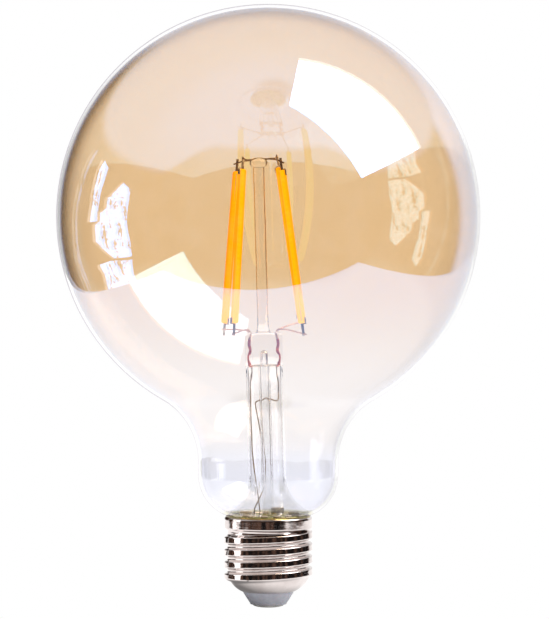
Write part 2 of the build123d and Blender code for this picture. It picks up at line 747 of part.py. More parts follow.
def cap_assembly():
    """The screw cap and the electronics in it, by node."""
    grouped = board_pins()
    shell_wire = shell_lead()
    through = [pin for group in grouped.values() for pin in group]
    shell_pin = post(PIN_RADIUS, BOARD_BOTTOM, PIN_TOP, SHELL_LANDING)
    landings = [LEFT_LANDING, RIGHT_LANDING]
    pieces = {
        "screw_shell": [screw_shell()],
        "base_insulator": [base_insulator()],
        "centre_contact": [centre_contact()],
        "cap_adhesive": [cap_adhesive()],
        "driver_board": [driver_board(through + [shell_pin])],
        "solder_joints": solder_joints(through + [shell_pin], landings),
        "shell_lead": [shell_wire],
        "contact_lead": [contact_lead()],
        "fusible_resistor": [fusible_resistor()],
        "film_capacitor": [film_capacitor()],
        "bridge_rectifier": [bridge_rectifier()],
        "driver_chip": [driver_chip()],
        "ceramic_capacitors": ceramic_capacitors(),
        "chip_resistors": chip_resistors(),
    }
    pieces.update(grouped)
    pieces.update(capacitor())
    pieces.update(inductor())
    pieces.update(wireless_module())
    return pieces


def main():
    os.makedirs("parts", exist_ok=True)
    nodes = {"glass_globe": [glass_globe()], **stem_assembly(), **cap_assembly()}
    for node, solids in nodes.items():
        if len(solids) == 1:
            shape = solids[0]
        else:
            shape = Compound(children=[solid.solid() for solid in solids])
        export_step(shape, f"parts/{node}.step")


main()
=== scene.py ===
import json
from math import acos, atan2, cos, degrees, exp, floor, hypot, pi, radians, sin, sqrt

import bpy
from mathutils import Matrix, Vector


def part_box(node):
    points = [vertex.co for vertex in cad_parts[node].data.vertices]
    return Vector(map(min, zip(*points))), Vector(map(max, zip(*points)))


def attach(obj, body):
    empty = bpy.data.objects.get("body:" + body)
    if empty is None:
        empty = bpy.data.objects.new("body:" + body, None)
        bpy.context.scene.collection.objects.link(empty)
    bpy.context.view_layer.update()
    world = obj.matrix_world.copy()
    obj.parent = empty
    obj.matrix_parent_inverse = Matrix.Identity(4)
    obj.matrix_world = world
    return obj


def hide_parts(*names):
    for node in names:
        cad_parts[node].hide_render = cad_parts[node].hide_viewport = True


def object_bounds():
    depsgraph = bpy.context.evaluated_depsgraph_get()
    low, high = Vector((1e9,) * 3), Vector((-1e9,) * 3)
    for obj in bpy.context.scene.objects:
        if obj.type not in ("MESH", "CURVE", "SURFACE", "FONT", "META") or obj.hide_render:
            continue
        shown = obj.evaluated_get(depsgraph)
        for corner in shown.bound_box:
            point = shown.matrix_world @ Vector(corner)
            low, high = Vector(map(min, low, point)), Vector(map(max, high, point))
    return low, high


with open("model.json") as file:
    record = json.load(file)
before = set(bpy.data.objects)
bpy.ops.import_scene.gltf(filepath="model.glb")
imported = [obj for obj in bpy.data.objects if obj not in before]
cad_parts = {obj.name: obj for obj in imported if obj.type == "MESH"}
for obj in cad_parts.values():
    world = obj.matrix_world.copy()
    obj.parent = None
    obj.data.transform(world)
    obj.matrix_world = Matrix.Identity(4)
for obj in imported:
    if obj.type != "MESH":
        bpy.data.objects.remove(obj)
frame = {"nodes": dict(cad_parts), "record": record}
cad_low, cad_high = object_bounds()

# A globe filament lamp that stands on the contact of its screw cap. +Z runs up to the top of the
# globe and -Y is the front. Sizes and places are in millimetres, and MM turns them into metres.
MM = 0.001

# Glass envelope. Its radius and height come from the frame.
globe_low, globe_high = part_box("glass_globe")
GLOBE_RADIUS = (globe_high.x - globe_low.x) / 2 / MM
GLOBE_Z = globe_high.z / MM - GLOBE_RADIUS
SKIRT_BOTTOM = globe_low.z / MM
GLASS_WALL = 1.0
WAIST_RADIUS = 21.0
NECK_RADIUS = 20.6
BOWL_RADIUS = 13.0
BOWL_Z = 39.2
SKIRT_RADIUS = 12.35
# The heights where the amber coating starts and where it is full.
COATING_STARTS = 58.0
COATING_FULL = 101.0

# Glass stem. It is modelled upright and leans to -X about a point on its seal.
STEM_LEAN = radians(-1.6)
LEAN_POINT = Vector((-0.2, 0, 27.9)) * MM
LEAN_TURN = Matrix.Rotation(STEM_LEAN, 4, "Y")
LEAN = Matrix.Translation(LEAN_POINT) @ LEAN_TURN @ Matrix.Translation(-LEAN_POINT)
TUBE_RADIUS = 5.5
TUBE_WALL = 0.8
FLARE_RADIUS = 12.0
FLARE_EDGE = 11.9
FLARE_EDGE_TOP = 28.05
SQUEEZE_BOTTOM = 66.0
PRESS_BOTTOM = 73.0
PRESS_TOP = 81.2
PRESS_FLAT = 1.45
PRESS_LOBE = 2.1
# How far from the middle each lead's lobe of glass starts and is full. The press's top rises round each
# lead and drops towards its sides.
LOBE_SPAN = (3.1, 4.3)
LEAD_RISE = 0.7
LEAD_RISE_WIDTH = 0.8
TOP_DROP = 0.35
TOP_DROP_SPAN = (1.8, 3.2)
PRESS_CAVITY = 1.3
CAVITY_TOP = 71.6
EXHAUST_RADIUS = 1.7
EXHAUST_BORE = 1.1
EXHAUST_TIP = 24.4
BORE_TOP = 76.0
ROD_RADIUS = 1.65
ROD_TOP = 129.92
BEAD_RADIUS = 2.65
BEAD_BOTTOM = 129.9
BEAD_TOP = 132.8

# Wires and filaments.
WIRE_RADIUS = 0.22
LEAD_X = 4.2
FILAMENT_WIDTH = 2.3
FILAMENT_THICKNESS = 1.5
FILAMENT_ROUNDING = 0.66
TAB_WIDTH = 0.75
TAB_LENGTH = 3.6
TAB_THICKNESS = 0.3
PRONG_WIDTH = 0.37
PRONG_LENGTH = 1.65
PRONG_DEPTH = 1.34
FILAMENTS = ["back_left", "front_left", "back_right", "front_right"]
# The side of each filament that its tab's prong is on.
PRONG_SIDE = {"back_left": 1, "front_left": 1, "back_right": -1, "front_right": -1}
# How far each filament is turned about its own length, in degrees.
TWIST = {"back_left": -60, "front_left": 50, "back_right": 0, "front_right": -60}
# How far past each filament's lower end its wire meets the tab.
FOOT_WELD = {"back_left": 1.8, "front_left": 3.1, "back_right": 1.0, "front_right": 3.1}

# Screw cap.
RIM_Z = 27.1
CAP_WALL = 0.35
RIM_ROUNDING = 1.2
RIM_ROUNDING_TOP = 1.04
FLANK_ROUNDING = 0.5
COLLAR_RADIUS = 13.0
COLLAR_BOTTOM = 23.3
ROOT_RADIUS = 12.13
CREST_RADIUS = 13.1
ROOT_TOP = 22.75
THREAD_PITCH = 3.629
THREAD_TURNS = 4
THREAD_BOTTOM = 8.08
# The shares of a half pitch that the thread's crest and its root are level for, and how the crest tapers.
CREST_FLAT = 0.42
ROOT_FLAT = 0.08
CREST_TAPER = 0.30
DISH_CENTRE = (4.6, 12.3)
DISH_RADIUS = 8.29
DISH_LIP = 7.6
BOARD_TOP = 27.0
BOARD_BOTTOM = 26.0
BOARD_RADIUS = 11.2
BOARD_HOLE = 3.0
# Middles of the small parts on the board, and the turn of each in degrees.
SMALL_PARTS = [
    (-6.6, -3.4, 0), (-5.4, -6.4, 50), (-1.2, -7.8, 0), (2.6, -7.4, 20), (5.8, -5.6, 60), (7.0, 6.8, 45),
]

# View: a long lens two metres in front, a little above the lamp's middle.
VIEW_DISTANCE = 2.0
VIEW_ELEVATION = radians(3)
VIEW_AIM = (cad_low + cad_high) / 2 + Vector((1.8, 0, -1.0)) * MM
SENSOR = 36.0
LENS = 394.5


# ---------------------------------------------------------------- modelling helpers
def only(piece):
    """Makes one object the only selected and active one."""
    if bpy.context.object and bpy.context.object.mode != "OBJECT":
        bpy.ops.object.mode_set(mode="OBJECT")
    bpy.ops.object.select_all(action="DESELECT")
    piece.select_set(True)
    bpy.context.view_layer.objects.active = piece


def clear_selection():
    """Deselects every object, so that an operator acts on the new primitive alone."""
    bpy.ops.object.select_all(action="DESELECT")


def named(name):
    """Names the primitive that was just added."""
    piece = bpy.context.object
    piece.name = name
    piece.data.name = name
    return piece


def arc(centre, radius, start, end, steps):
    """Points of a (radius, height) outline on an arc, with its angles in degrees from the radius axis."""
    turns = [radians(start + (end - start) * step / steps) for step in range(steps + 1)]
    return [(centre[0] + radius * cos(turn), centre[1] + radius * sin(turn)) for turn in turns]


def edit(piece, mode="VERT"):
    """Opens a piece in edit mode with nothing selected."""
    only(piece)
    bpy.ops.object.mode_set(mode="EDIT")
    bpy.ops.mesh.select_mode(type=mode)
    bpy.ops.mesh.select_all(action="DESELECT")


def done():
    bpy.ops.object.mode_set(mode="OBJECT")


def pick_faces(piece, wanted):
    """Selects the faces whose centre and normal pass a test, and opens the piece in face mode."""
    edit(piece, "FACE")
    done()
    for face in piece.data.polygons:
        face.select = wanted(face.center, face.normal)
    bpy.ops.object.mode_set(mode="EDIT")


def carry_ring(start, outline):
    """Extrudes the selected ring or cap, and scales it, through each radius and height of an outline."""
    radius, height = start
    for wide, high in outline:
        bpy.ops.mesh.extrude_region_move(TRANSFORM_OT_translate={"value": (0, 0, (high - height) * MM)})
        share = wide / radius
        bpy.ops.transform.resize(value=(share, share, 1), center_override=(0, 0, high * MM))
        radius, height = wide, high


def turned(name, outline, segments=96, fill="NGON"):
    """A turned piece: a circle at the outline's first point, carried through the others."""
    clear_selection()
    radius, height = outline[0]
    bpy.ops.mesh.primitive_circle_add(
        vertices=segments, radius=radius * MM, location=(0, 0, height * MM), fill_type=fill
    )
    piece = named(name)
    bpy.ops.object.mode_set(mode="EDIT")
    bpy.ops.mesh.select_mode(type="VERT")
    bpy.ops.mesh.select_all(action="SELECT")
    carry_ring(outline[0], outline[1:])
    bpy.ops.mesh.select_all(action="SELECT")
    bpy.ops.mesh.normals_make_consistent(inside=False)
    done()
    return piece


def apply_modifier(piece, kind, **settings):
    """Adds a modifier and applies it at once."""
    only(piece)
    modifier = piece.modifiers.new(kind.title(), kind)
    for name, value in settings.items():
        setattr(modifier, name, value)
    bpy.ops.object.modifier_apply(modifier=modifier.name)


def block(name, x, y, z, bevel=0.0, segments=3):
    """A bevelled block between two values on each axis."""
    clear_selection()
    middle = [(pair[0] + pair[1]) / 2 * MM for pair in (x, y, z)]
    size = [(pair[1] - pair[0]) * MM for pair in (x, y, z)]
    bpy.ops.mesh.primitive_cube_add(size=1, location=middle, scale=size)
    piece = named(name)
    bpy.ops.object.transform_apply(location=True, rotation=True, scale=True)
    if bevel:
        apply_modifier(piece, "BEVEL", width=bevel * MM, segments=segments, limit_method="ANGLE")
    return piece


def copied(piece, name, matrix=Matrix.Identity(4)):
    """A copy of a finished shape with its own mesh, moved by a matrix."""
    twin = piece.copy()
    twin.data = piece.data.copy()
    twin.name = name
    twin.data.name = name
    bpy.context.scene.collection.objects.link(twin)
    twin.data.transform(matrix)
    return twin


def joined(pieces, name):
    """Several meshes as one piece."""
    only(pieces[0])
    for piece in pieces:
        piece.select_set(True)
    bpy.ops.object.join()
    return named(name)


def discard(piece):
    bpy.data.objects.remove(piece)


def settle(piece, nodes, finish, smooth=35, matrix=None):
    """Puts a finished piece's place into its mesh, gives it its finish, hangs it on the root and hides its
    CAD nodes.
    """
    only(piece)
    if matrix is not None:
        piece.matrix_world = matrix @ piece.matrix_world
    bpy.ops.object.transform_apply(location=True, rotation=True, scale=True)
    bpy.ops.object.shade_smooth_by_angle(angle=radians(smooth))
    if len(finish) == 1:
        piece.data.materials.clear()
        piece.data.materials.append(finish[0])
    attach(piece, "root")
    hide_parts(*nodes)
    return piece


def wire(name, points, cad_node, finish):
    """A round wire of the stem, bent through its points."""
    curve = bpy.data.curves.new(name, "CURVE")
    curve.dimensions = "3D"
    curve.bevel_depth = WIRE_RADIUS * MM
    curve.bevel_resolution = 4
    curve.resolution_u = 10
    curve.use_fill_caps = True
    spline = curve.splines.new("BEZIER")
    spline.bezier_points.add(len(points) - 1)
    for knot, place in zip(spline.bezier_points, points):
        knot.co = Vector(place) * MM
        knot.handle_left_type = "AUTO"
        knot.handle_right_type = "AUTO"
    piece = bpy.data.objects.new(name, curve)
    bpy.context.scene.collection.objects.link(piece)
    only(piece)
    bpy.ops.object.convert(target="MESH")
    return settle(named(name), [cad_node], [finish], 60, LEAN)


def smoothstep(low, high, value):
    share = min(max((value - low) / (high - low), 0), 1)
    return share * share * (3 - 2 * share)


# ---------------------------------------------------------------- shader helpers
def rgb(red, green, blue):
    return (red, green, blue, 1.0)


def new_finish(name):
    """An empty node material and its tree."""
    material = bpy.data.materials.new(name)
    material.use_nodes = True
    material.node_tree.nodes.clear()
    return material, material.node_tree


def node(tree, kind, settings=None, **inputs):
    """A shader node. Its inputs are set or linked by name, or by number as i0, i1 and so on."""
    made = tree.nodes.new("ShaderNode" + kind)
    for name, value in (settings or {}).items():
        setattr(made, name, value)
    for name, value in inputs.items():
        by_number = name[0] == "i" and name[1:].isdigit()
        socket = made.inputs[int(name[1:]) if by_number else name.replace("_", " ")]
        if isinstance(value, bpy.types.NodeSocket):
            tree.links.new(value, socket)
        else:
            socket.default_value = value
    return made


def output(tree, shader):
    node(tree, "OutputMaterial", Surface=shader.outputs[0])


def position(tree):
    """The place on the object, in metres."""
    return node(tree, "TexCoord").outputs["Object"]


def noise(tree, grain, stretch=(1, 1, 1), detail=4, place=None):
    """Noise whose blotches are about one grain across, in millimetres."""
    mapped = node(tree, "Mapping", Vector=place or position(tree), Scale=stretch)
    made = node(tree, "TexNoise", Vector=mapped.outputs[0], Scale=1 / (grain * MM), Detail=detail)
    return made.outputs["Fac"]


def math(tree, operation, first, second=0.0, third=0.0):
    return node(tree, "Math", {"operation": operation}, i0=first, i1=second, i2=third).outputs[0]


def spread(tree, value, low, high, to_low, to_high, smooth=False):
    """Maps a value's range to another, clamped."""
    settings = {"interpolation_type": "SMOOTHSTEP" if smooth else "LINEAR"}
    made = node(tree, "MapRange", settings, Value=value)
    for name, limit in zip(("From Min", "From Max", "To Min", "To Max"), (low, high, to_low, to_high)):
        made.inputs[name].default_value = limit
    return made.outputs["Result"]


def blend_colours(tree, factor, first, second, how="MIX"):
    made = node(tree, "Mix", {"data_type": "RGBA", "blend_type": how}, i0=factor, i6=first, i7=second)
    return made.outputs[2]


def mix_shaders(tree, factor, first, second):
    return node(tree, "MixShader", i0=factor, i1=first.outputs[0], i2=second.outputs[0])


def relief(tree, height, depth, strength=0.5):
    """A bump from a height, whose depth is in millimetres."""
    return node(tree, "Bump", Height=height, Distance=depth * MM, Strength=strength).outputs[0]


def surface(name, dark, light, grain, roughness, metallic, depth, **more):
    """A finish that drifts between two tones, with grain of one size in its gloss and its relief."""
    material, tree = new_finish(name)
    tone = noise(tree, grain * 6)
    fine = noise(tree, grain, detail=6)
    colour = blend_colours(tree, spread(tree, tone, 0.35, 0.65, 0, 1), rgb(*dark), rgb(*light))
    gloss = spread(tree, fine, 0.3, 0.7, roughness[0], roughness[1])
    body = node(
        tree, "BsdfPrincipled", Base_Color=colour, Roughness=gloss, Metallic=metallic,
        Normal=relief(tree, fine, depth), **more,
    )
    output(tree, body)
    return material


# ---------------------------------------------------------------- finishes
# Facing values run from 0, face on, to 1, edge on. The envelope's outline greys over these with painted
# shade, which fades to a faint one on the right, from the middle out to the second of these places in
# metres.
OUTLINE_FACING = (0.86, 0.97)
PAINTED_SHADE_FADE_X = (0.0, 0.055)
OUTLINE_PAINTED_SHADE = rgb(0.70, 0.68, 0.74)
OUTLINE_SHADED_MIRROR = rgb(0.62, 0.58, 0.62)
# Painted shade: a darker olive green on the glass just above the cap rim.
RIM_JOINT_SHADE = rgb(0.55, 0.52, 0.26)
BARE_GLOSS = 0.04
# What the amber coating and the bare wall let through and mirror. The neck starts below these heights.
AMBER_PASSED = rgb(0.914, 0.737, 0.521)
# Darker amber where the coating is seen slant, for its longer path, and stronger on the left: painted shade.
AMBER_SLANTED = rgb(0.66, 0.50, 0.31)
SLANT_FACING = (0.62, 0.92)
CLEAR_PASSED = rgb(0.952, 0.930, 0.925)
NECK_PASSED = rgb(0.933, 0.936, 0.980)
NECK_HEIGHTS = (0.040, 0.052)
AMBER_MIRRORED = rgb(0.035, 0.14, 0.33)
CLEAR_MIRRORED = rgb(0.035, 0.037, 0.042)
RIM_MIRRORED = rgb(0.85, 0.84, 0.90)
# Phosphor: the chips in a row, the place across it of a thin painted glint, and where its lower end starts,
# which is painted a lighter yellow.
PHOSPHOR_POWER = 1.1
CHIP_COUNT = 28
GLINT_AT = 0.5
LOWER_END = (0.16, 0.24)
# Plain finishes by slot: dark tone, light tone, grain, roughness, metalness and relief. Grain and relief
# are in millimetres.
PLAIN_FINISHES = {
    "contact_metal": ((0.50, 0.47, 0.45), (0.72, 0.69, 0.66), 0.4, (0.15, 0.3), 1.0, 0.01),
    "substrate": ((0.80, 0.78, 0.72), (0.90, 0.88, 0.84), 0.2, (0.4, 0.6), 0.0, 0.01),
    "led_chip": ((0.30, 0.38, 0.62), (0.45, 0.55, 0.80), 0.1, (0.1, 0.2), 0.0, 0.005),
    "tab_metal": ((0.42, 0.31, 0.20), (0.85, 0.75, 0.62), 0.25, (0.25, 0.5), 0.9, 0.02),
    "support_wire": ((0.16, 0.09, 0.045), (0.45, 0.30, 0.18), 0.3, (0.25, 0.5), 0.9, 0.02),
    "lead_wire": ((0.60, 0.38, 0.30), (0.90, 0.70, 0.60), 0.3, (0.25, 0.5), 0.9, 0.02),
    "dumet": ((0.42, 0.06, 0.02), (0.75, 0.18, 0.06), 0.2, (0.25, 0.45), 0.7, 0.02),
    "solder": ((0.55, 0.56, 0.58), (0.80, 0.80, 0.82), 0.25, (0.15, 0.35), 1.0, 0.03),
    "silicone": ((0.72, 0.72, 0.70), (0.84, 0.84, 0.82), 0.5, (0.5, 0.7), 0.0, 0.06),
    "dark_plastic": ((0.10, 0.085, 0.06), (0.20, 0.17, 0.12), 0.15, (0.4, 0.6), 0.0, 0.02),
    "ceramic_part": ((0.55, 0.45, 0.33), (0.72, 0.63, 0.50), 0.3, (0.4, 0.55), 0.0, 0.02),
    "can_metal": ((0.62, 0.63, 0.65), (0.80, 0.81, 0.83), 0.3, (0.2, 0.35), 1.0, 0.01),
    "sleeve": ((0.012, 0.018, 0.045), (0.02, 0.03, 0.07), 0.4, (0.2, 0.35), 0.0, 0.02),
    "bung": ((0.02, 0.02, 0.02), (0.05, 0.05, 0.05), 0.3, (0.6, 0.8), 0.0, 0.03),
    "ferrite": ((0.035, 0.035, 0.038), (0.07, 0.07, 0.075), 0.2, (0.45, 0.65), 0.0, 0.03),
    "resistor_coat": ((0.10, 0.22, 0.16), (0.16, 0.32, 0.24), 0.3, (0.35, 0.5), 0.0, 0.03),
    "film_case": ((0.35, 0.05, 0.02), (0.50, 0.09, 0.04), 0.3, (0.25, 0.4), 0.0, 0.02),
    "radio_board": ((0.01, 0.03, 0.10), (0.02, 0.06, 0.18), 0.3, (0.3, 0.45), 0.0, 0.02),
    "shield_metal": ((0.58, 0.58, 0.57), (0.74, 0.74, 0.72), 0.4, (0.2, 0.35), 1.0, 0.01),
}


def facing(tree):
    """0 where a surface faces the eye, 1 where it is seen edge on."""
    return node(tree, "LayerWeight", Blend=0.5).outputs["Facing"]


def is_ray(tree, kind):
    """1 for rays of one kind, such as Camera or Shadow."""
    return node(tree, "LightPath").outputs["Is " + kind + " Ray"]


def grazing_gloss(tree, seen, base):
    """How much a glass face reflects, from base when seen straight to all when seen edge on."""
    return math(tree, "MULTIPLY_ADD", math(tree, "POWER", seen, 5.0), 1 - base, base)


def blown_ripple(tree):
    """The slow waves of blown glass."""
    return relief(tree, noise(tree, 30.0, (1, 1, 0.4), 1), 0.05, 0.4)


def outer_glass():
    """The clear outside face of the thin blown wall, with painted grey shade where the eye sees it edge on.
    """
    material, tree = new_finish("envelope_outside")
    seen = facing(tree)
    place = node(tree, "SeparateXYZ", Vector=position(tree))
    # Painted shade: the outline's grey is full on the left and falls to 0.15 of it on the right.
    painted_shade_left = spread(tree, place.outputs["X"], *PAINTED_SHADE_FADE_X, 1, 0.15, True)
    shaded = math(tree, "MULTIPLY", painted_shade_left, is_ray(tree, "Camera"))
    edge = math(tree, "MULTIPLY", spread(tree, seen, *OUTLINE_FACING, 0, 1, True), shaded)
    shade_tint = blend_colours(tree, edge, rgb(1, 1, 1), OUTLINE_PAINTED_SHADE)
    mirrored = blend_colours(tree, edge, rgb(1, 1, 1), OUTLINE_SHADED_MIRROR)
    # Painted shade: the glass darkens to olive green just above the cap rim.
    foot = spread(tree, place.outputs["Z"], (RIM_Z + 0.1) * MM, (RIM_Z + 1.0) * MM, 1, 0, True)
    shade_tint = blend_colours(tree, foot, shade_tint, RIM_JOINT_SHADE)
    through = node(tree, "BsdfTransparent", Color=shade_tint)
    shine = node(tree, "BsdfGlossy", Color=mirrored, Roughness=0.0, Normal=blown_ripple(tree))
    output(tree, mix_shaders(tree, grazing_gloss(tree, seen, BARE_GLOSS), through, shine))
    return material


def amber_coating():
    """The see-through amber coating inside the globe. It mirrors the blue that it doesn't let through."""
    material, tree = new_finish("envelope_coating")
    seen = facing(tree)
    place = node(tree, "SeparateXYZ", Vector=position(tree))
    cover = spread(tree, place.outputs["Z"], COATING_STARTS * MM, COATING_FULL * MM, 0, 1, True)
    uneven = spread(tree, noise(tree, 18.0, (1, 1, 0.6), 3), 0.3, 0.7, 0.93, 1.04)
    cover = math(tree, "MULTIPLY", cover, uneven)
    # Painted shade: the slant darkening is full on the left and falls to 0.2 of it on the right.
    painted_slant_shade_left = spread(tree, place.outputs["X"], *PAINTED_SHADE_FADE_X, 1, 0.2, True)
    slant = math(tree, "MULTIPLY", spread(tree, seen, *SLANT_FACING, 0, 1, True), painted_slant_shade_left)
    amber = blend_colours(tree, slant, AMBER_PASSED, AMBER_SLANTED)
    neck = spread(tree, place.outputs["Z"], *NECK_HEIGHTS, 1, 0, True)
    clear = blend_colours(tree, neck, CLEAR_PASSED, NECK_PASSED)
    passed = blend_colours(tree, cover, clear, amber)
    to_eye = math(tree, "MULTIPLY", cover, is_ray(tree, "Camera"))
    mirrored = blend_colours(tree, to_eye, CLEAR_MIRRORED, AMBER_MIRRORED)
    through = node(tree, "BsdfTransparent", Color=passed)
    shine = node(tree, "BsdfGlossy", Color=mirrored, Roughness=0.0, Normal=blown_ripple(tree))
    film = node(tree, "AddShader", i0=through.outputs[0], i1=shine.outputs[0])
    edge = node(tree, "BsdfGlossy", Color=RIM_MIRRORED, Roughness=0.0)
    output(tree, mix_shaders(tree, math(tree, "POWER", seen, 5.0), film, edge))
    return material


def stem_glass():
    """Clear drawn glass that bends light, with faint draw lines along it. It fades out above the board."""
    material, tree = new_finish("stem_glass")
    lines = noise(tree, 0.9, (1, 1, 0.04), 2)
    tone = spread(tree, noise(tree, 12.0), 0.3, 0.7, 0, 1)
    colour = blend_colours(tree, tone, rgb(0.97, 0.975, 0.98), rgb(1, 1, 1))
    body = node(
        tree, "BsdfPrincipled", Base_Color=colour, Roughness=0.0, IOR=1.48, Transmission_Weight=1.0,
        Normal=relief(tree, lines, 0.02, 0.3),
    )
    height = node(tree, "SeparateXYZ", Vector=position(tree)).outputs["Z"]
    foot = spread(tree, height, (RIM_Z + 5) * MM, (RIM_Z + 13) * MM, 0.94, 0, True)
    lets_by = math(tree, "MAXIMUM", foot, is_ray(tree, "Shadow"))
    clear = node(tree, "BsdfTransparent", Color=rgb(0.95, 0.95, 0.95))
    output(tree, mix_shaders(tree, lets_by, body, clear))
    return material


def phosphor(name, edge, centre, strength):
    """Lit phosphor: deepest at its edges, brighter over the row of chips, with a thin painted glint to one
    side.
    """
    material, tree = new_finish(name)
    plan = node(tree, "SeparateXYZ", Vector=node(tree, "UVMap", {"uv_map": "along"}).outputs[0])
    across = plan.outputs["X"]
    row = spread(tree, math(tree, "ABSOLUTE", across), 0.1, 0.85, 1, 0, True)
    # A painted highlight: a thin yellow line in the glow along one side.
    from_glint = math(tree, "ABSOLUTE", math(tree, "SUBTRACT", across, GLINT_AT))
    glint = spread(tree, from_glint, 0.03, 0.12, 0.45, 0)
    chips = math(tree, "SINE", math(tree, "MULTIPLY", plan.outputs["Y"], CHIP_COUNT * 2 * pi))
    bright = math(tree, "MULTIPLY", row, math(tree, "MULTIPLY_ADD", chips, 0.10, 0.90))
    grain = spread(tree, noise(tree, 0.35, detail=3), 0.3, 0.7, 0.94, 1.05)
    glow = blend_colours(tree, bright, rgb(*edge), rgb(*centre))
    # Painted light: the lower end of the glow is a lighter yellow.
    lower = spread(tree, plan.outputs["Y"], *LOWER_END, 0.75, 0, True)
    glow = blend_colours(tree, lower, glow, rgb(1.0, 0.66, 0.0))
    glow = blend_colours(tree, glint, glow, rgb(1.0, 0.76, 0.08))
    power = math(tree, "MULTIPLY", grain, strength)
    body = node(
        tree, "BsdfPrincipled", Base_Color=rgb(0.40, 0.16, 0.002), Roughness=0.7,
        Emission_Color=glow, Emission_Strength=power, Specular_IOR_Level=0.05,
        Normal=relief(tree, noise(tree, 0.5, detail=3), 0.05, 0.5),
    )
    output(tree, body)
    return material


def nickel():
    """Bright nickel on thin rolled metal: soft streaks round it, and small dents on the rolled thread."""
    material, tree = new_finish("nickel_plate")
    place = position(tree)
    streak = noise(tree, 0.5, (0.08, 0.08, 1), 3, place)
    cloud = spread(tree, noise(tree, 6.0, detail=3, place=place), 0.35, 0.65, 0, 1)
    colour = blend_colours(tree, cloud, rgb(0.62, 0.55, 0.53), rgb(0.74, 0.67, 0.65))
    gloss = spread(tree, streak, 0.3, 0.7, 0.04, 0.10)
    dents = noise(tree, 3.0, (1, 1, 1.3), 2, place)
    height = node(tree, "SeparateXYZ", Vector=place).outputs["Z"]
    rolled = spread(tree, height, (COLLAR_BOTTOM - 1) * MM, COLLAR_BOTTOM * MM, 1.0, 0.25)
    body = node(
        tree, "BsdfPrincipled", Base_Color=colour, Metallic=1.0, Roughness=gloss,
        Normal=relief(tree, math(tree, "MULTIPLY", dents, rolled), 0.10, 0.5),
    )
    output(tree, body)
    return material


def board_green():
    """Olive-green solder mask over copper tracks."""
    material, tree = new_finish("circuit_board")
    place = position(tree)
    tracks = node(
        tree, "TexVoronoi", {"feature": "DISTANCE_TO_EDGE"}, Vector=place, Scale=1 / (3.2 * MM)
    ).outputs["Distance"]
    line = spread(tree, tracks, 0.03, 0.07, 1, 0)
    cloud = noise(tree, 4.0, place=place)
    mask = blend_colours(tree, cloud, rgb(0.20, 0.21, 0.015), rgb(0.34, 0.33, 0.04))
    colour = blend_colours(tree, line, mask, rgb(0.48, 0.46, 0.10))
    body = node(
        tree, "BsdfPrincipled", Base_Color=colour, Coat_Weight=0.4, Coat_Roughness=0.2,
        Roughness=spread(tree, noise(tree, 0.4, place=place), 0.3, 0.7, 0.35, 0.5),
        Normal=relief(tree, line, 0.04, 0.4),
    )
    output(tree, body)
    return material


def winding():
    """Enamelled copper wire, wound in level turns, with painted shade between the turns."""
    material, tree = new_finish("copper_winding")
    place = position(tree)
    height = node(tree, "SeparateXYZ", Vector=place).outputs["Z"]
    turns = math(tree, "ABSOLUTE", math(tree, "SINE", math(tree, "MULTIPLY", height, pi / (0.2 * MM))))
    # Painted shade: each turn darkens where it meets the next.
    colour = blend_colours(tree, turns, rgb(0.28, 0.07, 0.02), rgb(0.75, 0.30, 0.13))
    gloss = spread(tree, noise(tree, 0.6, place=place), 0.3, 0.7, 0.2, 0.4)
    body = node(
        tree, "BsdfPrincipled", Base_Color=colour, Metallic=0.9, Roughness=gloss,
        Normal=relief(tree, turns, 0.08, 0.8),
    )
    output(tree, body)
    return material


def foil_roll():
    """The wound foil and paper of a capacitor, as rings about its middle."""
    material, tree = new_finish("capacitor_roll")
    settings = {"wave_type": "RINGS", "rings_direction": "Z"}
    wave = node(tree, "TexWave", settings, Vector=position(tree), Scale=1 / (3 * MM), Distortion=0.6)
    rings = wave.outputs["Fac"]
    colour = blend_colours(tree, rings, rgb(0.55, 0.50, 0.42), rgb(0.78, 0.77, 0.74))
    gloss = spread(tree, noise(tree, 0.5), 0.3, 0.7, 0.5, 0.8)
    body = node(
        tree, "BsdfPrincipled", Base_Color=colour, Roughness=gloss, Normal=relief(tree, rings, 0.05, 0.5),
    )
    output(tree, body)
    return material


def finishes():
    """Every finish by its slot in the record, and the bright one of the lead wires."""
    made = {name: surface(name, *values) for name, values in PLAIN_FINISHES.items()}
    made["insulator"] = surface(
        "insulator", (0.40, 0.40, 0.46), (0.48, 0.48, 0.54), 0.3, (0.3, 0.45), 0.0, 0.02,
        Subsurface_Weight=0.1, Subsurface_Scale=0.001,
    )
    made["clear_glass"] = stem_glass()
    made["nickel_plate"] = nickel()
    made["circuit_board"] = board_green()
    made["capacitor_roll"] = foil_roll()
    made["copper"] = winding()
    return made


# ---------------------------------------------------------------- glass envelope
def neck_line():
    """The outside of the envelope below the globe, from its joint with the waist down to the skirt."""
    waist_r = NECK_RADIUS + WAIST_RADIUS
    reach = GLOBE_RADIUS + WAIST_RADIUS
    waist_z = GLOBE_Z - sqrt(reach**2 - waist_r**2)
    joint_angle = 180 - degrees(acos(waist_r / reach))
    bowl_r = NECK_RADIUS - BOWL_RADIUS
    bowl_angle = -degrees(acos((SKIRT_RADIUS - bowl_r) / BOWL_RADIUS))
    waist = arc((waist_r, waist_z), WAIST_RADIUS, joint_angle, 180, 28)
    bowl = arc((bowl_r, BOWL_Z), BOWL_RADIUS, 0, bowl_angle, 24)
    return waist + bowl + [(SKIRT_RADIUS, SKIRT_BOTTOM)]


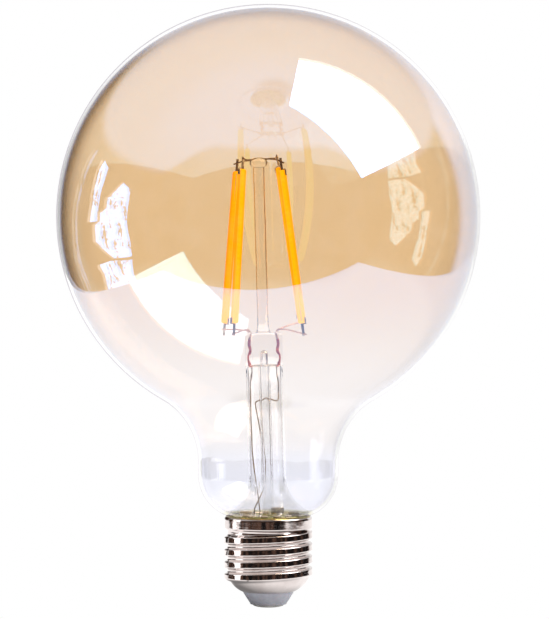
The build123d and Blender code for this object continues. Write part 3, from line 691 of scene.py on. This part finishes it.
def glass_envelope(outside, coating):
    """A blown globe drawn down into its neck, with a thin wall that is coated on the inside."""
    line = neck_line()
    joint_r, joint_z = line[0]
    clear_selection()
    bpy.ops.mesh.primitive_uv_sphere_add(
        segments=192, ring_count=96, radius=GLOBE_RADIUS * MM, location=(0, 0, GLOBE_Z * MM)
    )
    piece = named("glass_envelope")
    bpy.ops.object.mode_set(mode="EDIT")
    bpy.ops.mesh.select_mode(type="EDGE")
    bpy.ops.mesh.select_all(action="SELECT")
    bpy.ops.mesh.bisect(plane_co=(0, 0, joint_z * MM), plane_no=(0, 0, 1), clear_inner=True)
    carry_ring((joint_r, joint_z), line[1:])
    bpy.ops.mesh.select_all(action="SELECT")
    bpy.ops.mesh.normals_make_consistent(inside=False)
    done()
    piece.data.materials.append(outside)
    piece.data.materials.append(coating)
    apply_modifier(piece, "SOLIDIFY", thickness=GLASS_WALL * MM, offset=-1, material_offset=1)
    return settle(piece, ["glass_globe"], [outside, coating], 60)


# ---------------------------------------------------------------- glass stem
def press_shape(piece):
    """Squeezes the top of a round tube flat, with a lobe of glass round each lead."""
    for vertex in piece.data.vertices:
        x, y, z = (value / MM for value in vertex.co + piece.location)
        share = smoothstep(SQUEEZE_BOTTOM, PRESS_BOTTOM, z)
        radius = hypot(x, y)
        if share == 0 or radius < EXHAUST_BORE + 0.05:
            continue
        inner = radius < TUBE_RADIUS - TUBE_WALL / 2 and z < PRESS_TOP - 1.5
        full = TUBE_RADIUS - TUBE_WALL if inner else TUBE_RADIUS
        lobe = smoothstep(*LOBE_SPAN, abs(x))
        half = PRESS_CAVITY if inner else PRESS_FLAT + (PRESS_LOBE - PRESS_FLAT) * lobe
        flat = half * (radius / full) * abs(y / radius) ** 0.4
        y = y + ((flat if y > 0 else -flat) - y) * share
        if not inner and z > PRESS_TOP - 1.2:
            rise = LEAD_RISE * exp(-(((abs(x) - LEAD_X) / LEAD_RISE_WIDTH) ** 2))
            z += rise - TOP_DROP * smoothstep(*TOP_DROP_SPAN, abs(x))
        vertex.co = Vector((x, y, z)) * MM - piece.location


def stem_tube(glass):
    """Press, tube and trumpet flare in one piece of glass, with the bore's blind end in the press."""
    centre_r = TUBE_RADIUS + FLARE_RADIUS
    offset = centre_r - FLARE_EDGE
    centre = (centre_r, FLARE_EDGE_TOP + sqrt(FLARE_RADIUS**2 - offset**2))
    turn = 180 + degrees(acos(offset / FLARE_RADIUS))
    under = FLARE_RADIUS + TUBE_WALL
    under_turn = 180 + degrees(acos(offset / under))
    bore = TUBE_RADIUS - TUBE_WALL
    top = [(radius, PRESS_TOP) for radius in (1.7, 2.6, 3.5, 4.3)] + [(5.0, PRESS_TOP - 0.15)]
    shoulder = arc((TUBE_RADIUS - 0.4, PRESS_TOP - 0.6), 0.4, 70, 0, 4)
    squeeze = [SQUEEZE_BOTTOM + (PRESS_BOTTOM - SQUEEZE_BOTTOM) * step / 10 for step in range(11)]
    outside = [(TUBE_RADIUS, z) for z in (80, 79, 77.5, 76, 74.5)]
    outside += [(TUBE_RADIUS, z) for z in reversed(squeeze)] + [(TUBE_RADIUS, z) for z in (58, 50)]
    flare = arc(centre, FLARE_RADIUS, 180, turn, 20)
    inside = arc(centre, under, under_turn, 180, 20)
    lifted = [(bore, z) for z in (50, 58)] + [(bore, z) for z in squeeze if z < CAVITY_TOP - 0.3]
    ceiling = [(bore, CAVITY_TOP - 0.2), (bore - 0.4, CAVITY_TOP), (2.6, CAVITY_TOP)]
    blind = [(EXHAUST_BORE, z) for z in (CAVITY_TOP, BORE_TOP - 2.2)]
    blind += arc((0, BORE_TOP - EXHAUST_BORE), EXHAUST_BORE, 0, 84, 8)
    outline = top + shoulder + outside + flare + inside + lifted + ceiling + blind
    piece = turned("stem_tube_glass", outline, 128)
    press_shape(piece)
    return settle(piece, ["stem_tube"], [glass], 50, LEAN)


def exhaust_tube(glass):
    """The thin tube down the middle of the stem, sealed at its lower tip."""
    tip = arc((0, EXHAUST_TIP + EXHAUST_RADIUS), EXHAUST_RADIUS, -84, 0, 10)
    bottom = arc((0, EXHAUST_TIP + EXHAUST_RADIUS + 0.4), EXHAUST_BORE, 0, -84, 8)
    top = CAVITY_TOP - 0.05
    walls = [(EXHAUST_RADIUS, 50), (EXHAUST_RADIUS, top), (EXHAUST_BORE, top), (EXHAUST_BORE, 50)]
    piece = turned("exhaust_tube_glass", tip + walls + bottom, 48)
    return settle(piece, ["exhaust_tube"], [glass], 50, LEAN)


def stem_rod(glass):
    """The solid rod from the press up to the bead, drawn by hand and so a little uneven."""
    low = PRESS_TOP + 0.02
    steps = 40
    body = []
    for step in range(steps + 1):
        z = low + (ROD_TOP - low) * step / steps
        foot = 0.5 * exp(-(z - low) / 0.8)
        body.append((ROD_RADIUS + foot + 0.03 * sin(z * 0.35) + 0.02 * sin(z * 0.9 + 1), z))
    piece = turned("stem_rod_glass", body, 64)
    return settle(piece, ["stem_rod"], [glass], 50, LEAN)


def top_bead(glass):
    """The melted button of glass on top of the rod that holds the support wires."""
    half = (BEAD_TOP - BEAD_BOTTOM) / 2
    middle = BEAD_BOTTOM + half
    low = arc((BEAD_RADIUS - half, middle), half, -90, 0, 10)
    high = arc((BEAD_RADIUS - half, middle), half, 0, 90, 10)
    piece = turned("top_bead_glass", [(0.6, BEAD_BOTTOM)] + low + high[1:] + [(0.6, BEAD_TOP + 0.1)], 64)
    return settle(piece, ["top_bead"], [glass], 50, LEAN)


# ---------------------------------------------------------------- filaments
def filament_ends(name):
    """The lower and upper end of a filament's coating on the upright stem, in millimetres."""
    coating = frame["nodes"]["filament_coating_" + name].data
    places = [LEAN.inverted() @ vertex.co / MM for vertex in coating.vertices]
    places.sort(key=lambda place: place.z)
    return [sum(some, Vector()) / len(some) for some in (places[:60], places[-60:])]


def filament_frame(name):
    """The matrix of a filament: X across it, Y outwards, Z up along it from its lower end."""
    foot, top = filament_ends(name)
    up = (top - foot).normalized()
    across = up.cross(Vector((foot.x, foot.y, 0))).normalized() * -1
    out = up.cross(across)
    twist = Matrix.Rotation(radians(TWIST[name]), 4, "Z")
    turn = Matrix((across, out, up)).transposed().to_4x4() @ twist
    return Matrix.Translation(foot * MM) @ turn, (top - foot).length


def foot_weld(name):
    """Where a wire meets a filament's lower tab."""
    foot, top = filament_ends(name)
    return foot - (top - foot).normalized() * FOOT_WELD[name]


def coating_shape(length):
    """A rounded bar that stands on the origin, with a layout that runs across and along it."""
    half, deep = FILAMENT_WIDTH / 2, FILAMENT_THICKNESS / 2
    piece = block("coating", (-half, half), (-deep, deep), (0, length), FILAMENT_ROUNDING, 6)
    layout = piece.data.uv_layers.new(name="along")
    for face in piece.data.polygons:
        for corner in face.loop_indices:
            place = piece.data.vertices[piece.data.loops[corner].vertex_index].co / MM
            layout.data[corner].uv = (place.x / half, place.z / length)
    return piece


def tab_shape(side):
    """One flat end tab that hangs from the origin, with its shoulder and its prong up one side."""
    half = TAB_WIDTH / 2
    piece = block("tab", (-half, half), (-TAB_THICKNESS / 2, TAB_THICKNESS / 2), (-TAB_LENGTH, 0))
    reach = FILAMENT_WIDTH / 2 + 0.06
    edit(piece)
    bpy.ops.mesh.select_all(action="SELECT")
    bpy.ops.mesh.bisect(plane_co=(0, 0, -TAB_THICKNESS * MM), plane_no=(0, 0, 1))
    done()
    pick_faces(piece, lambda at, way: way.x * side > 0.9 and at.z > -TAB_THICKNESS * MM)
    for step in (reach - PRONG_WIDTH - half, PRONG_WIDTH):
        bpy.ops.mesh.extrude_region_move(TRANSFORM_OT_translate={"value": (side * step * MM, 0, 0)})
    done()
    pick_faces(piece, lambda at, way: way.z > 0.9 and at.x * side > (reach - PRONG_WIDTH) * MM)
    bpy.ops.mesh.extrude_region_move(TRANSFORM_OT_translate={"value": (0, 0, 0.1 * MM)})
    bpy.ops.transform.resize(value=(1, PRONG_DEPTH / TAB_THICKNESS, 1))
    bpy.ops.mesh.extrude_region_move(TRANSFORM_OT_translate={"value": (0, 0, (PRONG_LENGTH - 0.1) * MM)})
    bpy.ops.mesh.select_all(action="SELECT")
    bpy.ops.mesh.normals_make_consistent(inside=False)
    done()
    apply_modifier(piece, "BEVEL", width=0.05 * MM, segments=2, limit_method="ANGLE")
    return piece


def filament(name, glow, metal):
    """The coating and the two end tabs of one filament."""
    place, length = filament_frame(name)
    coating = coating_shape(length)
    settle(coating, ["filament_coating_" + name], [glow], 60, LEAN @ place)
    coating.name = "filament_glow_" + name
    lower = tab_shape(PRONG_SIDE[name])
    flip = Matrix.Translation((0, 0, length * MM)) @ Matrix.Scale(-1, 4, (0, 0, 1))
    upper = copied(lower, "tab_above", flip)
    only(upper)
    upper.data.flip_normals()
    tabs = joined([lower, upper], "filament_ends_" + name)
    settle(tabs, ["filament_tabs_" + name], [metal], 40, LEAN @ place)


# ---------------------------------------------------------------- wires
def support_wires(metal):
    """The two bent wires through the bead, each from a left filament to a right one."""
    routes = {
        "back": [
            (-7.3, 4.6, 130.9), (-6.7, 4.2, 131.1), (-4.4, 2.9, 131.8), (-1.0, 0.9, 132.0),
            (1.2, 0.9, 132.2), (3.8, 3.2, 132.4), (5.2, 4.7, 132.6), (5.4, 5.1, 133.3),
        ],
        "front": [
            (-4.6, -6.9, 133.0), (-4.3, -6.3, 132.9), (-4.0, -5.6, 132.6), (-1.0, -0.9, 132.3),
            (1.2, -0.9, 132.4), (5.0, -3.4, 132.2), (6.9, -4.6, 131.5), (7.5, -4.9, 131.2),
        ],
    }
    for name, route in routes.items():
        wire("support_" + name, route, "support_wire_" + name, metal)


def lead_wires(metal, copper):
    """Inner leads, side wires and seal wires on both sides of the press."""
    ends = {name: foot_weld(name) for name in FILAMENTS}
    for side, word in ((-1, "left"), (1, "right")):
        front = ends["front_" + word]
        back = ends["back_" + word]
        x = side * LEAD_X
        bend = Vector((x - side * 0.1, -0.1, 82.3))
        rise = [(x, 0, 79.2), (x - side * 0.25, 0, 80.8), bend - Vector((0, 0, 0.5))]
        past = front + (front - bend).normalized() * 1.2
        route = rise + [bend + (front - bend) * 0.12, front, past]
        wire("lead_" + word, route, "inner_lead_" + word, metal)
        start = Vector((x - side * 0.3, 0.45, 81.6))
        past = back + (back - start).normalized() * 1.1
        route = [start, start.lerp(back, 0.25) + Vector((0, 0, 0.25)), back, past]
        wire("side_" + word, route, "side_wire_" + word, metal)
        sways = [(0, 79.3), (0.1, 77.6), (-0.15, 76.0), (0.25, 74.4), (0, 71.0)]
        route = [(x + side * sway, 0, z) for sway, z in sways]
        wire("seal_" + word, route, "dumet_wire_" + word, copper)


# ---------------------------------------------------------------- screw cap
def dish_z(radius, r):
    """The height of the cap's dish at radius r."""
    return DISH_CENTRE[1] - sqrt(radius**2 - (r - DISH_CENTRE[0]) ** 2)


def ridge(x, y, z):
    """How far the rolled thread stands out at a place on the cap, from 0 to 1."""
    turn = (atan2(y, x) / (2 * pi) - 0.25) % 1.0
    climbed = (z - THREAD_BOTTOM) / THREAD_PITCH - turn
    number = floor(climbed + 0.5)
    along = number + turn
    runs_out = smoothstep(THREAD_TURNS - 0.2, THREAD_TURNS + 0.12, along)
    fade = smoothstep(-0.12, 0.2, along) * (1 - runs_out)
    above = climbed - number
    flank = 1 - smoothstep(CREST_FLAT, 1 - ROOT_FLAT, 2 * abs(above))
    return fade * flank * (1 - CREST_TAPER * above)


def screw_shell(metal):
    """The cap's thin metal: a rolled rim and collar, four turns of round thread and the dish below."""
    start = degrees(acos((ROOT_RADIUS - DISH_CENTRE[0]) / DISH_RADIUS))
    end = degrees(acos((DISH_LIP - DISH_CENTRE[0]) / DISH_RADIUS))
    dish = arc(DISH_CENTRE, DISH_RADIUS, -start, -end, 16)
    rim = arc((COLLAR_RADIUS - RIM_ROUNDING, RIM_Z - RIM_ROUNDING_TOP), RIM_ROUNDING, 60, 0, 12)
    flank_z = COLLAR_BOTTOM + FLANK_ROUNDING
    collar = [(COLLAR_RADIUS, z) for z in (26.0, 25.0, 24.0, flank_z)]
    flank = arc((COLLAR_RADIUS - FLANK_ROUNDING, flank_z), FLANK_ROUNDING, 0, -50, 6)
    low = dish[0][1]
    rows = 110
    wall = [(ROOT_RADIUS, ROOT_TOP - (ROOT_TOP - low) * row / rows) for row in range(rows)]
    piece = turned("screw_cap_shell", rim + collar + flank + wall + dish, 144, "NOTHING")
    reach = CREST_RADIUS - ROOT_RADIUS
    for vertex in piece.data.vertices:
        x, y, z = (value / MM for value in vertex.co + piece.location)
        radius = hypot(x, y)
        if z < ROOT_TOP + 0.01 and radius > ROOT_RADIUS - 1.6:
            share = (radius + reach * ridge(x, y, z)) / radius
            vertex.co.x *= share
            vertex.co.y *= share
    apply_modifier(piece, "SOLIDIFY", thickness=CAP_WALL * MM, offset=-1)
    return settle(piece, ["screw_shell"], [metal], 60)


def base_insulator(plastic):
    """The moulded cone that closes the cap and carries the centre contact."""
    top = dish_z(DISH_RADIUS, DISH_LIP) - 0.1
    waist = DISH_LIP - 0.1
    seat = DISH_RADIUS - 0.45
    outline = [(1.3, 7.6), (9.6, 7.6), (9.75, 7.4), (9.8, 7.0)]
    outline += [(radius, dish_z(seat, radius)) for radius in (8.6, waist)]
    outline += [(waist, top), (waist - 0.1, top - 0.2), (6.45, 2.75), (5.5, 1.35)]
    outline += arc((5.05, 1.25), 0.4, 0, -90, 5) + [(4.7, 0.85), (1.3, 0.85), (1.3, 2.0), (1.3, 7.59)]
    piece = turned("cap_insulator", outline, 128, "NOTHING")
    edit(piece)
    bpy.ops.mesh.select_all(action="SELECT")
    bpy.ops.mesh.remove_doubles(threshold=0.02 * MM)
    bpy.ops.mesh.normals_make_consistent(inside=False)
    done()
    return settle(piece, ["base_insulator"], [plastic], 30)


def centre_contact(metal):
    """The domed contact disc, with its pressed flat and its pin."""
    dome = [(0.3, 0.0), (2.3, 0.0), (2.9, 0.05), (3.6, 0.18), (4.2, 0.38)]
    edge = arc((4.45, 0.7), 0.15, -60, 90, 6)
    outline = dome + edge + [(1.25, 0.85), (1.2, 0.9), (1.2, 8.0), (1.0, 8.2)]
    piece = turned("cap_contact", outline, 96)
    return settle(piece, ["centre_contact"], [metal], 30)


# ---------------------------------------------------------------- driver board
def driver_board(green):
    """The round board with its hole for the exhaust tube."""
    inset = BOARD_RADIUS - 0.05
    outline = [(BOARD_HOLE, BOARD_TOP), (inset, BOARD_TOP), (BOARD_RADIUS, BOARD_TOP - 0.05)]
    outline += [(BOARD_RADIUS, BOARD_BOTTOM + 0.05), (inset, BOARD_BOTTOM), (BOARD_HOLE, BOARD_BOTTOM)]
    outline.append((BOARD_HOLE, BOARD_TOP))
    piece = turned("round_board", outline, 128, "NOTHING")
    edit(piece)
    bpy.ops.mesh.select_all(action="SELECT")
    bpy.ops.mesh.remove_doubles(threshold=0.005 * MM)
    bpy.ops.mesh.normals_make_consistent(inside=False)
    done()
    return settle(piece, ["driver_board"], [green], 30)


def rectifier(finish):
    """The rectifier block and its four legs."""
    z = BOARD_TOP
    body = block("body", (0.8, 4.6), (5.9, 7.9), (z + 0.2, z + 1.9), 0.15)
    legs = [
        block("leg", (x - 0.35, x + 0.35), y, (z, z + 0.24), 0.05, 2)
        for x in (1.5, 3.9)
        for y in ((5.6, 6.6), (7.2, 8.2))
    ]
    piece = joined([body] + legs, "rectifier_block")
    settle(piece, ["bridge_rectifier"], [finish["dark_plastic"]])


def driver_chip(finish):
    """The driver chip and its eight legs."""
    z = BOARD_TOP
    body = block("body", (6.1, 9.0), (-2.2, 2.2), (z + 0.15, z + 1.2), 0.12)
    legs = [
        block("leg", x, (y - 0.2, y + 0.2), (z, z + 0.35), 0.05, 2)
        for y in (-1.8, -0.6, 0.6, 1.8)
        for x in ((5.4, 6.3), (8.8, 9.7))
    ]
    piece = joined([body] + legs, "driver_chip_body")
    settle(piece, ["driver_chip"], [finish["dark_plastic"]])


def small_parts(finish):
    """The light ceramic blocks and the small parts on top of the board."""
    z = BOARD_TOP
    blocks = [
        block("ceramic", (-8.4, -4.8), (2.4, 4.8), (z, z + 1.1), 0.15),
        block("ceramic", (-1.7, 0.2), (4.9, 6.2), (z, z + 1.0), 0.15),
    ]
    piece = joined(blocks, "ceramic_blocks")
    settle(piece, ["ceramic_capacitors"], [finish["ceramic_part"]])
    chip = block("chip", (-1.0, 1.0), (-0.62, 0.62), (0, 0.6), 0.08)
    chips = []
    for x, y, turn in SMALL_PARTS:
        put = Matrix.Translation(Vector((x, y, z)) * MM) @ Matrix.Rotation(radians(turn), 4, "Z")
        chips.append(copied(chip, "chip_part", put))
    discard(chip)
    piece = joined(chips, "small_board_parts")
    settle(piece, ["chip_resistors"], [finish["ceramic_part"]])


# ---------------------------------------------------------------- studio
# Corners of the floor sheet in metres: front left, front right, back left, back right.
FLOOR_CORNERS = [(-0.235, -0.15), (0.243, -0.217), (-0.30, 0.90), (0.50, 0.90)]
FLOOR_RADIANCE = 1.22
# The lamp's own shadow round its foot, as it shows in the cap, in metres.
SHADOW_CENTRE = (-0.006, 0.006, 0.0)
SHADOW_REACH = (0.008, 0.024)
SHADOW_RADIANCE = 0.25
SOFTBOX_AT = Vector((0.451, -0.185, 0.690))
SOFTBOX_SIZE = (0.651, 0.909)
SOFTBOX_FACES = Vector((-0.841, 0.027, -0.541))
SOFTBOX_RADIANCE = 6.0
# The white sweep behind: how much further it reaches on the right, and where its edge fades, seen
# directly and bent through the stem.
SWEEP_SKEW = 0.30
SWEEP_EDGE = (0.84, 0.94)
SWEEP_EDGE_BENT = (0.68, 0.80)
# The height of the ceiling's sill in front and at the sides, and the tones of the room and the ceiling.
SILL_HEIGHTS = (0.62, 0.36)
ROOM_DARK = rgb(0.012, 0.010, 0.010)
ROOM_LIGHT = rgb(0.13, 0.075, 0.055)
CEILING = rgb(0.6, 0.6, 0.6)
# Torn white sheets in an upright plane at the left, as outlines of (y, z) in millimetres.
SHEET_X = -0.42
# The wear at which a hole starts and at which the sheet is whole.
TEAR = (0.57, 0.59)
SHEET_RADIANCE = {"strip": 3.0, "main": 3.0, "lower": 3.0, "edge": 0.8}
SHEETS = {
    "strip": [
        (115, 255), (70, 240), (70, 205), (80, 165), (80, 140), (90, 100), (145, 95), (130, 135), (130, 225),
    ],
    "main": [
        (-45, 215), (-90, 200), (-90, 165), (-85, 95), (-95, 50), (-90, -5), (10, 0), (80, 35), (110, 50),
        (105, 90), (70, 100), (70, 120), (30, 135), (30, 160), (-10, 185),
    ],
    "lower": [(35, -5), (-85, -15), (-65, -70), (-70, -105), (150, -105), (110, -40), (125, -10)],
    "edge": [
        (235, 265), (205, 270), (250, 175), (310, 40), (315, -5), (305, -50), (355, -100), (410, -100),
        (370, -55), (385, -10), (325, 85), (280, 175),
    ],
}


def camera():
    data = bpy.data.cameras.new("camera")
    data.sensor_width = SENSOR
    data.lens = LENS
    data.clip_start = 0.1
    data.clip_end = 20
    eye = bpy.data.objects.new("camera", data)
    back = Vector((0, -cos(VIEW_ELEVATION), sin(VIEW_ELEVATION)))
    eye.location = VIEW_AIM + back * VIEW_DISTANCE
    eye.rotation_euler = (-back).to_track_quat("-Z", "Y").to_euler()
    bpy.context.scene.collection.objects.link(eye)
    bpy.context.scene.camera = eye


def plain_floor():
    """A pale sheet under the lamp. The eye sees it plain, and mirrors see the lamp's own shadow on it."""
    clear_selection()
    bpy.ops.mesh.primitive_plane_add(size=1, location=(0, 0, 0))
    sheet = named("pale_floor")
    for vertex, corner in zip(sheet.data.vertices, FLOOR_CORNERS):
        vertex.co = Vector((*corner, 0))
    material, tree = new_finish("pale_floor")
    from_foot = node(tree, "VectorMath", {"operation": "DISTANCE"}, i0=position(tree), i1=SHADOW_CENTRE)
    lit = spread(tree, from_foot.outputs["Value"], *SHADOW_REACH, SHADOW_RADIANCE, FLOOR_RADIANCE, True)
    power = node(tree, "Mix", {"data_type": "FLOAT"}, i0=is_ray(tree, "Camera"), i2=lit, i3=1.0).outputs[0]
    output(tree, node(tree, "Emission", Color=rgb(1, 1, 1), Strength=power))
    sheet.data.materials.append(material)


def torn_paper(name, radiance):
    """Lit white paper with ragged holes, which only mirrors see."""
    material, tree = new_finish("torn_" + name)
    place = position(tree)
    coarse = noise(tree, 30.0, (1, 1, 0.7), 5, place)
    fine = noise(tree, 7.0, (1, 0.6, 1), 4, place)
    worn = math(tree, "MULTIPLY_ADD", fine, 0.5, math(tree, "MULTIPLY", coarse, 0.8))
    whole = spread(tree, worn, *TEAR, 0, 1)
    sheet_glow = node(tree, "Emission", Color=rgb(1, 1, 1), Strength=radiance)
    nothing = node(tree, "BsdfTransparent", Color=rgb(1, 1, 1))
    seen = math(tree, "MULTIPLY", whole, is_ray(tree, "Glossy"))
    output(tree, mix_shaders(tree, seen, nothing, sheet_glow))
    return material


def torn_sheets():
    """The torn sheets at the left."""
    for name, outline in SHEETS.items():
        clear_selection()
        bpy.ops.mesh.primitive_circle_add(vertices=len(outline), radius=0.1, fill_type="NGON")
        sheet = named("sheet_" + name)
        for vertex, (y, z) in zip(sheet.data.vertices, outline):
            vertex.co = Vector((SHEET_X, y * MM, z * MM))
        sheet.data.materials.append(torn_paper(name, SHEET_RADIANCE[name]))


def softbox():
    """A large soft light above the right shoulder, whose long side runs down towards +X."""
    light = bpy.data.lights.new("softbox", "AREA")
    light.shape = "RECTANGLE"
    light.size, light.size_y = SOFTBOX_SIZE
    light.energy = SOFTBOX_RADIANCE * pi * SOFTBOX_SIZE[0] * SOFTBOX_SIZE[1]
    back = -SOFTBOX_FACES.normalized()
    side = Vector((0, 1, 0))
    side = (side - back * side.dot(back)).normalized()
    turn = Matrix((side, back.cross(side), back)).transposed().to_4x4()
    globe = Vector((0, 0, GLOBE_Z)) * MM
    box = bpy.data.objects.new("softbox", light)
    box.matrix_world = Matrix.Translation(globe + SOFTBOX_AT) @ turn
    bpy.context.scene.collection.objects.link(box)


def room_light(tree):
    """The light from each way: a white sweep behind, a pale ceiling above a sill, a dim room in front."""
    everywhere = node(tree, "TexCoord").outputs["Generated"]
    way = node(tree, "SeparateXYZ", Vector=everywhere)
    x, y, z = (way.outputs[axis] for axis in "XYZ")
    level = math(tree, "SQRT", math(tree, "SUBTRACT", 1.0, math(tree, "MULTIPLY", z, z)))
    round_to_back = math(tree, "DIVIDE", y, level)
    round_to_right = math(tree, "DIVIDE", x, level)
    skewed = math(tree, "MULTIPLY_ADD", round_to_right, SWEEP_SKEW, round_to_back)
    behind = spread(tree, skewed, *SWEEP_EDGE, 0, 1, True)
    # Bent through the stem, the white sweep reaches further round.
    wide = spread(tree, round_to_back, *SWEEP_EDGE_BENT, 0, 1, True)
    wide = math(tree, "MULTIPLY", wide, is_ray(tree, "Transmission"))
    behind = math(tree, "MAXIMUM", behind, wide)
    sill = spread(tree, round_to_back, -0.85, -0.4, *SILL_HEIGHTS, True)
    above = spread(tree, math(tree, "SUBTRACT", z, sill), -0.03, 0.05, 0, 1, True)
    things = node(tree, "TexNoise", Vector=everywhere, Scale=5.0, Detail=4.0)
    shade = spread(tree, things.outputs["Fac"], 0.42, 0.62, 0, 1, True)
    room = blend_colours(tree, shade, ROOM_DARK, ROOM_LIGHT)
    room = blend_colours(tree, behind, room, rgb(1, 1, 1))
    return blend_colours(tree, above, room, CEILING)


def surroundings():
    """The room round the lamp. The eye itself sees plain white."""
    world = bpy.data.worlds.new("studio")
    bpy.context.scene.world = world
    world.use_nodes = True
    tree = world.node_tree
    tree.nodes.clear()
    lit = node(tree, "Background", Color=room_light(tree), Strength=1.0)
    plain = node(tree, "Background", Color=rgb(1, 1, 1), Strength=1.0)
    seen = mix_shaders(tree, is_ray(tree, "Camera"), lit, plain)
    node(tree, "OutputWorld", Surface=seen.outputs[0])


def studio():
    scene = bpy.context.scene
    scene.view_settings.view_transform = "Standard"
    scene.cycles.transparent_max_bounces = 64
    scene.cycles.max_bounces = 24
    scene.cycles.transmission_bounces = 20
    scene.cycles.glossy_bounces = 8
    camera()
    plain_floor()
    softbox()
    torn_sheets()
    surroundings()


# ---------------------------------------------------------------- lamp
def finish_cad_nodes(finish):
    """Gives every CAD node the finish of its slot."""
    for part in frame["record"]["subparts"]:
        made = finish.get(part["material_slot"])
        if made is not None:
            piece = frame["nodes"][part["node"]]
            piece.data.materials.clear()
            piece.data.materials.append(made)


def lamp():
    for plain in list(bpy.data.materials):
        bpy.data.materials.remove(plain)
    finish = finishes()
    finish_cad_nodes(finish)
    glass_envelope(outer_glass(), amber_coating())
    for make in (stem_tube, exhaust_tube, stem_rod, top_bead):
        make(finish["clear_glass"])
    glow = {
        # Painted shade: the back filaments' phosphor is a deeper orange copy of the front ones'.
        "back": phosphor("phosphor_back_shaded", (1.0, 0.36, 0.0), (1.0, 0.52, 0.0), PHOSPHOR_POWER),
        "front": phosphor("phosphor_front", (1.0, 0.42, 0.0), (1.0, 0.62, 0.0), PHOSPHOR_POWER),
    }
    for name in FILAMENTS:
        filament(name, glow[name.split("_")[0]], finish["tab_metal"])
    support_wires(finish["support_wire"])
    lead_wires(finish["lead_wire"], finish["dumet"])
    screw_shell(finish["nickel_plate"])
    base_insulator(finish["insulator"])
    centre_contact(finish["contact_metal"])
    driver_board(finish["circuit_board"])
    for make in (rectifier, driver_chip, small_parts):
        make(finish)


lamp()
studio()
